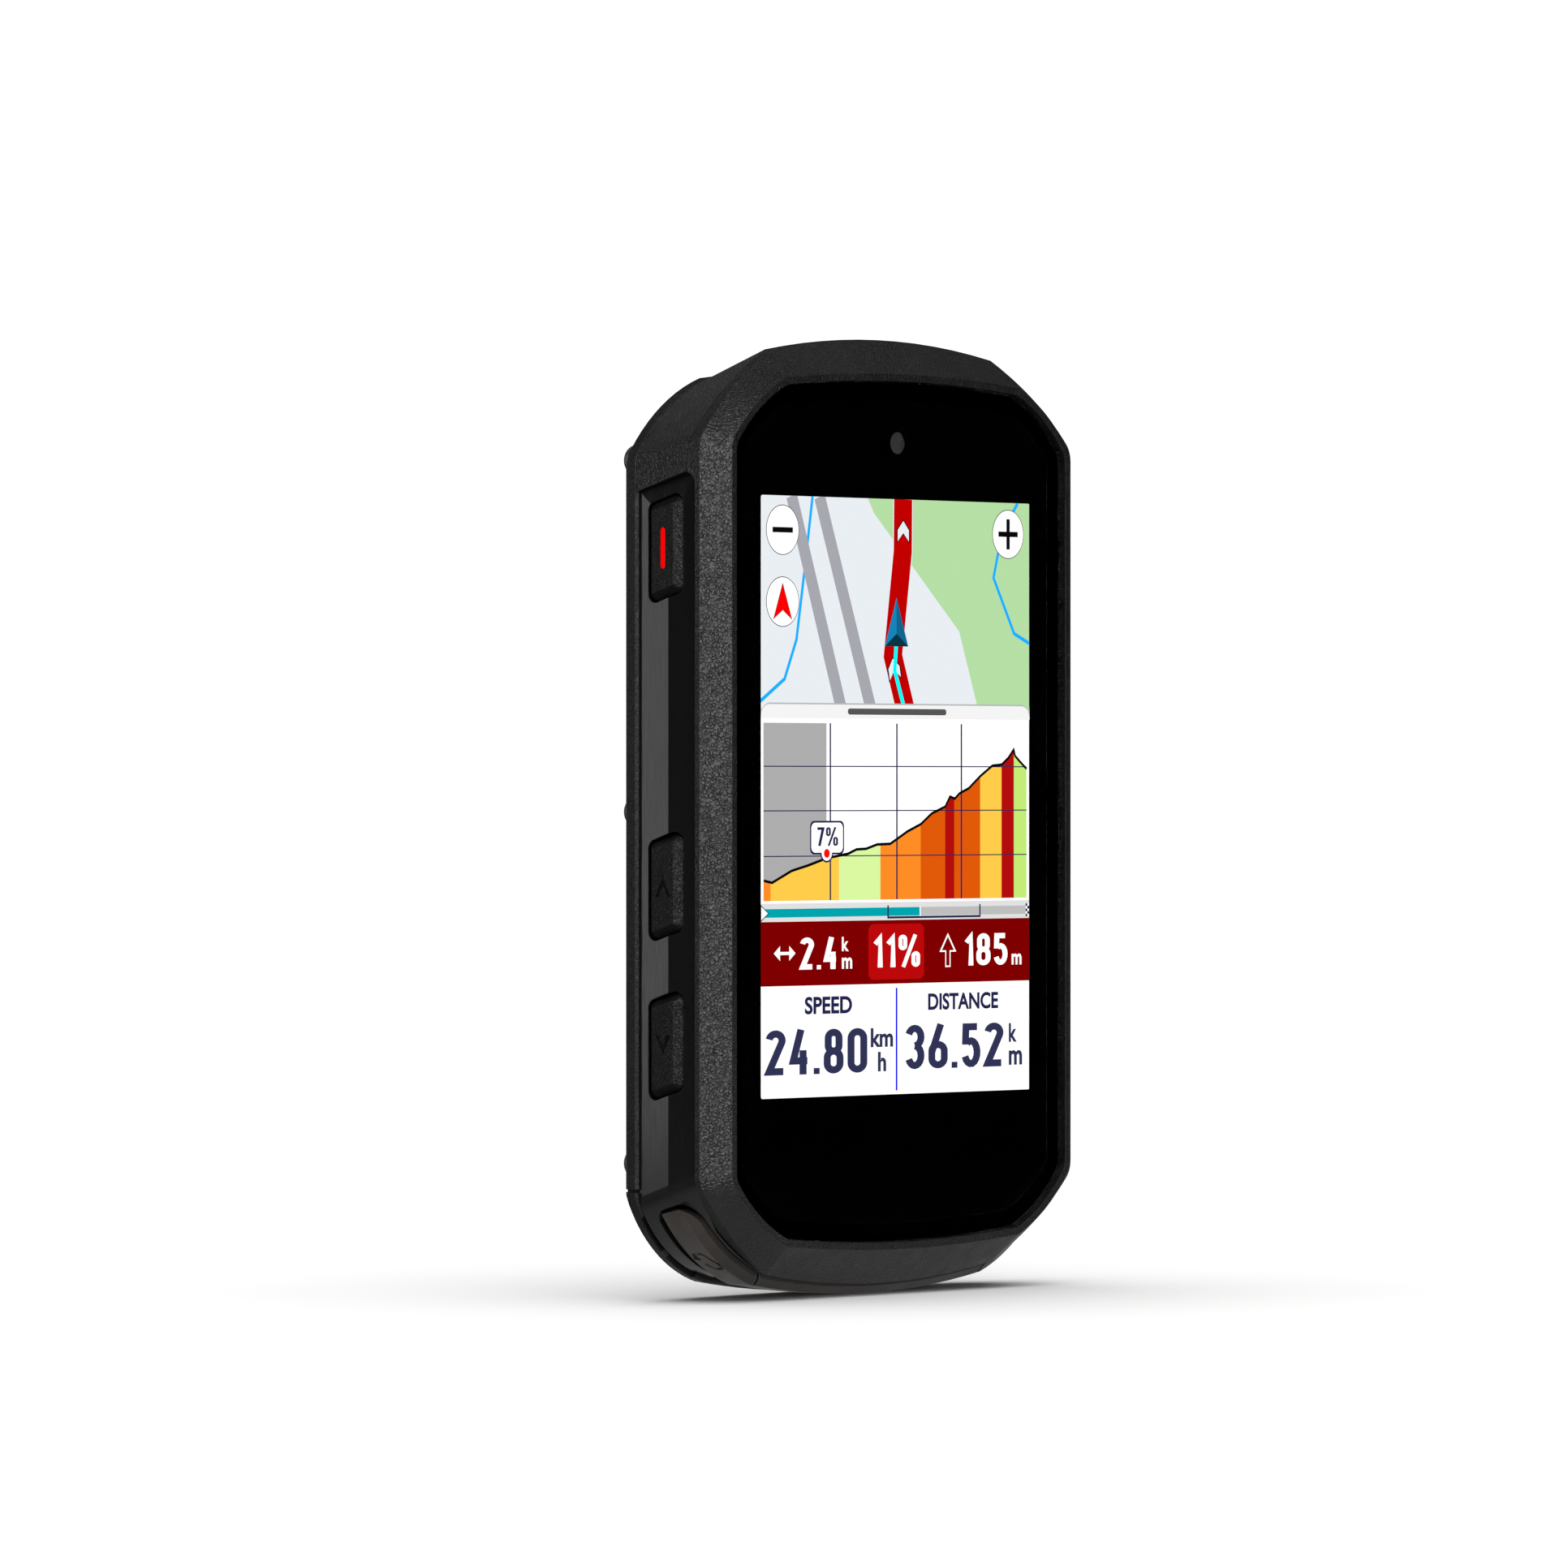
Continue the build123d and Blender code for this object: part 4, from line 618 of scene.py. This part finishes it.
BUTTON_R = 2.35
buttons = ((-16.5, 24.9), (-16.5, 18.2), (16.45, 25.1))
flat_piece("map_button_rims", [[circle_loop(x, z, BUTTON_R)] for x, z in buttons], 4, BLACK)
flat_piece("map_buttons", [[circle_loop(x, z, BUTTON_R - 0.07)] for x, z in buttons], 5, WHITE)
(minus_x, minus_z), (needle_x, needle_z), (plus_x, plus_z) = buttons
strokes = [
    [box_loop(minus_x - 1.45, minus_z - 0.25, minus_x + 1.45, minus_z + 0.25)],
    [box_loop(plus_x - 1.45, plus_z - 0.25, plus_x + 1.45, plus_z + 0.25)],
    [box_loop(plus_x - 0.25, plus_z - 1.45, plus_x + 0.25, plus_z + 1.45)],
]
flat_piece("map_button_signs", strokes, 6, BLACK)


def needle(grow):
    """The compass needle's outline, a notched dart grown by an edge."""
    half, foot = 1.27 + grow, needle_z - 1.6 - grow
    tip, notch = needle_z + 1.6 + grow * 2, needle_z - 0.75 - grow * 0.5
    return [(needle_x, tip), (needle_x - half, foot), (needle_x, notch), (needle_x + half, foot)]


flat_piece("compass_needle_edge", [[needle(0.09)]], 6, BLACK)
flat_piece("compass_needle", [[needle(0.0)]], 7, NEEDLE)

# --------------------------------------------------------------- climb picture

PANEL = lit("lit_panel", srgb(240, 240, 240))
SHADE = lit("lit_shade", srgb(176, 182, 184))
GRIP = lit("lit_grip", srgb(84, 84, 84))
PASSED = lit("lit_passed", srgb(170, 170, 170))
NAVY = lit("lit_navy", srgb(36, 36, 78))
AMBER = lit("lit_amber", srgb(250, 201, 72))
ORANGE = lit("lit_orange", srgb(250, 138, 36))
RUST = lit("lit_rust", srgb(220, 88, 8))
CRIMSON = lit("lit_crimson", srgb(176, 12, 12))
LIME = lit("lit_lime", srgb(214, 244, 158))
GREEN = lit("lit_green", srgb(192, 232, 118))
TEAL = lit("lit_teal", srgb(0, 162, 172))
RAIL = lit("lit_rail", srgb(221, 221, 221))
RAIL_DARK = lit("lit_rail_dark", srgb(186, 186, 186))
DOT = lit("lit_dot", srgb(255, 12, 12))
PANEL_TOP = 8.65
BAND_TOP, BAND_LOW = -11.65, -17.65
CHART_LEFT, CHART_RIGHT, CHART_TOP, CHART_LOW = -19.2, 19.25, 6.9, -9.7

HEAD_LOW = 7.35
RAIL_TOP = -9.95

flat_piece("panel_shadow", [[box_loop(-half_w, HEAD_LOW, half_w, PANEL_TOP + 0.14, 1.3)]], 9, SHADE)
rounded_top = box_loop(-half_w, HEAD_LOW - 3, half_w, PANEL_TOP, 1.2)
head = [p for p in rounded_top if p[1] > HEAD_LOW]
head.sort(key=lambda p: -math.atan2(p[1] - HEAD_LOW, p[0]))
flat_piece("panel_head", [[[(-half_w, HEAD_LOW), *head, (half_w, HEAD_LOW)]]], 10, PANEL)
flat_piece("panel_grip", [[box_loop(-7.2, 7.72, 7.2, 8.3, 0.28)]], 11, GRIP)
flat_piece("chart_ground", [[box_loop(-half_w, RAIL_TOP, half_w, HEAD_LOW)]], 0, WHITE)

# The climb: how far along each point lies, and its height on the chart
CLIMB = [
    (CHART_LEFT, -7.8), (-18.0, -8.0), (-15.2, -6.9), (-12.8, -6.4), (-10.2, -5.75), (-7.1, -5.35),
    (-5.9, -4.95), (-4.5, -4.9), (-2.9, -4.5), (-1.0, -4.45), (1.5, -3.3), (3.5, -2.6), (5.1, -1.6),
    (7.1, -0.95), (7.8, 0.0), (8.5, -0.2), (9.2, 0.3), (10.6, 0.8), (12.3, 1.95), (14.1, 2.95),
    (15.5, 3.05), (16.5, 3.7), (17.3, 4.5), (17.5, 3.9), (18.3, 3.3), (CHART_RIGHT, 2.65),
]
GRADES = [
    (CHART_LEFT, ORANGE), (-18.2, AMBER), (-8.4, LIME), (-2.4, ORANGE), (3.5, RUST), (7.1, CRIMSON),
    (8.45, RUST), (12.3, AMBER), (15.5, CRIMSON), (17.35, GREEN), (CHART_RIGHT, None),
]


def climb_height(along):
    """The climb's height at a distance along the chart."""
    for (x0, z0), (x1, z1) in zip(CLIMB, CLIMB[1:]):
        if x0 <= along <= x1:
            return z0 + (z1 - z0) * (along - x0) / (x1 - x0)
    return CLIMB[-1][1]


def under_climb(left, right):
    """The climb's area between two distances, down to the chart's foot."""
    inner = [p for p in CLIMB if left < p[0] < right]
    top = [(left, climb_height(left)), *inner, (right, climb_height(right))]
    return [(left, CHART_LOW), *top, (right, CHART_LOW)]


RIDDEN = -10.2
LINE = 0.1
passed = [p for p in CLIMB if p[0] <= RIDDEN]
flat_piece("climb_passed", [[[*passed, (RIDDEN, CHART_TOP), (CHART_LEFT, CHART_TOP)]]], 1, PASSED)
for number, ((left, colour), (right, _)) in enumerate(zip(GRADES, GRADES[1:])):
    flat_piece(f"climb_grade_{number}", [[under_climb(left, right)]], 2, colour)
columns = [[box_loop(x - LINE, CHART_LOW, x + LINE, CHART_TOP)] for x in (-9.65, 0.0, 9.5)]
rows = [[box_loop(CHART_LEFT, z - LINE / 2, CHART_RIGHT, z + LINE / 2)] for z in (-5.55, -1.3, 2.85)]
flat_piece("chart_columns", columns, 3, NAVY)
flat_piece("chart_rows", rows, 4, NAVY)
flat_piece("climb_line", [[stroke(CLIMB, 0.26)]], 5, BLACK)


def bubble(grow):
    """The grade label's outline: a rounded box with a round foot."""
    box = box_loop(-12.5 - grow, -5.3 - grow, -7.8 + grow, -2.35 + grow, 0.55)
    foot = circle_loop(RIDDEN, -5.25, 0.82 + grow, 32)
    return [[box], [foot]]


flat_piece("grade_bubble_rim", bubble(0.1), 6, NAVY)
flat_piece("grade_bubble", bubble(-0.07), 7, WHITE)
flat_piece("grade_dot", [[circle_loop(RIDDEN, -5.3, 0.42, 32)]], 8, DOT)
figures("grade_bubble_number", "7%", (-11.75, -4.6, -8.6, -2.85), 8, NAVY, 0.25)

flat_piece("rail_ground", [[box_loop(-half_w, BAND_TOP, half_w, RAIL_TOP)]], 0, RAIL)
flat_piece("rail_left_to_ride", [[box_loop(3.4, -11.25, CHART_RIGHT, -10.45)]], 1, RAIL_DARK)
flat_piece("rail_ridden", [[box_loop(-19.2, -11.25, 3.35, -10.45)]], 2, TEAL)
flat_piece("rail_end", [[box_loop(3.35, -11.3, 3.5, -10.4)]], 3, WHITE)
bracket = stroke([(-1.3, -10.25), (-1.3, -11.4), (12.25, -11.4), (12.25, -10.25)], 0.2)
flat_piece("rail_bracket", [[bracket]], 4, NAVY)
flat_piece("rail_start_edge", [[[(-19.6, -11.65), (-18.45, -10.85), (-19.6, -10.05)]]], 5, BLACK)
flat_piece("rail_start", [[[(-19.55, -11.5), (-18.6, -10.85), (-19.55, -10.2)]]], 6, WHITE)
CHECK, CHECKS_LEFT, CHECKS_LOW = 0.25, 19.1, -11.5
checks = [(column, row) for column in range(2) for row in range(5)]
for colour, parity in ((BLACK, 0), (WHITE, 1)):
    squares = []
    for column, row in checks:
        if (column + row) % 2 == parity:
            x, z = CHECKS_LEFT + column * CHECK, CHECKS_LOW + row * CHECK
            squares.append([box_loop(x, z, x + CHECK, z + CHECK)])
    flat_piece(f"rail_goal_{parity}", squares, 5, colour)

# ---------------------------------------------------------------- data picture

BAND = lit("lit_band", srgb(124, 0, 0))
BOX_RED = lit("lit_box_red", srgb(184, 8, 10))
FIGURE = lit("lit_figure", srgb(48, 50, 84))
LABEL = lit("lit_label", srgb(34, 36, 76))
DIVIDER = lit("lit_divider", srgb(16, 16, 240))

flat_piece("climb_band", [[box_loop(-half_w, BAND_LOW, half_w, BAND_TOP)]], 1, BAND)
flat_piece("steep_box", [[box_loop(-4.15, -17.25, 4.0, -12.0, 0.7)]], 2, BOX_RED)
shaft = box_loop(-17.2, -14.75, -15.2, -14.45)
tip_left = [(-17.75, -14.6), (-16.85, -15.3), (-16.85, -13.9)]
tip_right = [(-14.65, -14.6), (-15.55, -13.9), (-15.55, -15.3)]
flat_piece("distance_arrow", [[shaft], [tip_left], [tip_right]], 3, WHITE)
figures("band_distance", "2.4", (-14.0, -16.15, -8.6, -13.15), 3, WHITE, 0.5)
lettering("band_distance_k", "k", (-8.0, -14.5, -7.0, -13.15), 3, WHITE)
lettering("band_distance_m", "m", (-8.0, -16.15, -6.5, -15.1), 3, WHITE)
figures("steep_number", "11%", (-3.5, -16.1, 3.4, -13.05), 3, WHITE, 0.5)

CLIMB_ARROW_X = 7.5


def up_arrow(tip, neck, foot, half_head, half_shaft):
    """The outline of a broad arrow pointing up, round the climb arrow's middle."""
    right = [(half_head, neck), (half_shaft, neck), (half_shaft, foot)]
    left = [(-x, z) for x, z in reversed(right)]
    return [(CLIMB_ARROW_X + x, z) for x, z in [(0.0, tip), *right, *left]]


outer = up_arrow(-12.95, -14.75, -16.2, 1.25, 0.4)
inner = up_arrow(-13.3, -14.6, -16.05, 0.9, 0.25)
flat_piece("climb_arrow", [[outer, inner]], 3, WHITE)
figures("band_climb", "185", (9.9, -16.1, 16.4, -13.05), 3, WHITE, 0.5)
lettering("band_climb_m", "m", (17.0, -16.1, 18.5, -15.05), 3, WHITE)

flat_piece("data_ground", [[box_loop(-half_w, -half_h, half_w, BAND_LOW)]], 0, WHITE)
flat_piece("data_divider", [[box_loop(-0.15, -27.75, 0.08, -18.05)]], 1, DIVIDER)
lettering("speed_label", "SPEED", (-13.3, -20.35, -6.5, -18.7), 1, LABEL)
lettering("distance_label", "DISTANCE", (4.6, -20.25, 15.0, -18.65), 1, LABEL)
figures("speed_number", "24.80", (-18.9, -25.95, -4.3, -21.75), 1, FIGURE, 0.68)
lettering("speed_unit_top", "km", (-3.8, -23.6, -0.55, -21.8), 1, FIGURE)
lettering("speed_unit_low", "h", (-2.75, -25.9, -1.55, -24.05), 1, FIGURE)
figures("distance_number", "36.52", (1.2, -25.8, 15.8, -21.6), 1, FIGURE, 0.68)
lettering("distance_unit_k", "k", (16.6, -23.5, 17.8, -21.7), 1, FIGURE)
lettering("distance_unit_m", "m", (16.6, -25.7, 18.6, -24.3), 1, FIGURE)

# ------------------------------------------------------- stage, lights, camera

scene = bpy.context.scene
scene.view_settings.view_transform = "Standard"

FLOOR_SIDE = 0.25
FLOOR_DIM = 0.08
CARD_LIGHT = 0.38
CARD_HEADING = (0.87, -0.5, 0.0)
CARD_START_MM = (-35.0, -15.0)
CARD_END_MM = (70.0, 110.0)


def pale_floor():
    """Pale paper. In reflections it is dark, but for a lit card under the front of the object."""
    material, tree, shader = new_material("pale_floor")
    shader.inputs["Roughness"].default_value = 0.9
    shader.inputs["Emission Color"].default_value = (1, 1, 1, 1)
    place = in_mm(tree)
    reflected = add_node(tree, "ShaderNodeLightPath").outputs["Is Glossy Ray"]
    paper = mix_colour(tree, noise(tree, place, 0.02, detail=3.0), [0.86] * 3, [0.9] * 3)
    tree.links.new(mix_colour(tree, reflected, paper, [FLOOR_DIM] * 3), shader.inputs["Base Color"])
    ahead = add_node(tree, "ShaderNodeVectorMath", operation="DOT_PRODUCT")
    tree.links.new(place, ahead.inputs[0])
    ahead.inputs[1].default_value = CARD_HEADING
    apart = add_node(tree, "ShaderNodeVectorMath", operation="LENGTH")
    tree.links.new(place, apart.inputs[0])
    start = ramp(tree, ahead.outputs["Value"], *CARD_START_MM, 0.0, CARD_LIGHT)
    end = ramp(tree, apart.outputs["Value"], *CARD_END_MM, 1.0, 0.0)
    card = math_node(tree, "MULTIPLY", start, end)
    tree.links.new(math_node(tree, "MULTIPLY", reflected, card), shader.inputs["Emission Strength"])
    return material


floor_mesh = bpy.data.meshes.new("floor")
floor_corners = box_loop(-FLOOR_SIDE, -FLOOR_SIDE, FLOOR_SIDE, FLOOR_SIDE)
floor_mesh.from_pydata([(x, y, cad_low.z) for x, y in floor_corners], [], [(0, 1, 2, 3)])
floor_mesh.materials.append(pale_floor())
floor = bpy.data.objects.new("floor", floor_mesh)
scene.collection.objects.link(floor)

# How bright the surroundings are to the camera and to other rays, and what diffuse ones get on top
BACKDROP = 1.1
AMBIENT = 0.03
FILL = 0.1

world = bpy.data.worlds.new("studio")
scene.world = world
world.use_nodes = True
world_tree = world.node_tree
background = world_tree.nodes["Background"]
background.inputs["Color"].default_value = (1, 1, 1, 1)
ray = add_node(world_tree, "ShaderNodeLightPath")
plain = ramp(world_tree, ray.outputs["Is Camera Ray"], 0.0, 1.0, AMBIENT, BACKDROP)
fill = math_node(world_tree, "MULTIPLY", ray.outputs["Is Diffuse Ray"], FILL)
world_tree.links.new(math_node(world_tree, "ADD", plain, fill), background.inputs["Strength"])

centre = (cad_low + cad_high) / 2
LAMP_DISTANCE = 0.9


def softbox(name, azimuth, elevation, width, height, power):
    """A rectangular lamp that lights only gloss; azimuth 0 is in front of the object, 90 at its right."""
    lamp = bpy.data.lights.new(name, "AREA")
    lamp.shape = "RECTANGLE"
    lamp.size = width
    lamp.size_y = height
    lamp.energy = power
    turn, tilt = math.radians(azimuth), math.radians(elevation)
    level = math.cos(tilt)
    away = Vector((math.sin(turn) * level, -math.cos(turn) * level, math.sin(tilt)))
    made = bpy.data.objects.new(name, lamp)
    made.location = centre + away * LAMP_DISTANCE
    made.rotation_euler = away.to_track_quat("Z", "Y").to_euler()
    made.visible_diffuse = False
    scene.collection.objects.link(made)


softbox("left_rear_softbox", azimuth=-152, elevation=3, width=0.35, height=0.8, power=1.7)
softbox("left_front_softbox", azimuth=-32, elevation=5, width=0.8, height=1.2, power=18.0)
softbox("right_rear_softbox", azimuth=160, elevation=20, width=0.4, height=0.8, power=0.35)
softbox("top_softbox", azimuth=50, elevation=56, width=0.6, height=0.6, power=1.0)

# A broad light from above gives the floor its soft shadow, and shows in no reflection
sun = bpy.data.lights.new("sky_light", "SUN")
sun.energy = 3.45
sun.angle = math.radians(80)
sky = bpy.data.objects.new("sky_light", sun)
sky.visible_glossy = False
scene.collection.objects.link(sky)

CAMERA_PLACE_MM = Vector((-710.0, -616.9, 2.6))
CAMERA_HEADING = Vector((0.7559, 0.6547, 0.0))
camera_data = bpy.data.cameras.new("camera")
camera_data.lens = 226.0
camera_data.sensor_width = 36.0
camera_data.clip_start = 0.02
camera_data.clip_end = 50.0
camera = bpy.data.objects.new("camera", camera_data)
camera.location = CAMERA_PLACE_MM * MM
camera.rotation_euler = CAMERA_HEADING.to_track_quat("-Z", "Y").to_euler()
scene.collection.objects.link(camera)
scene.camera = camera
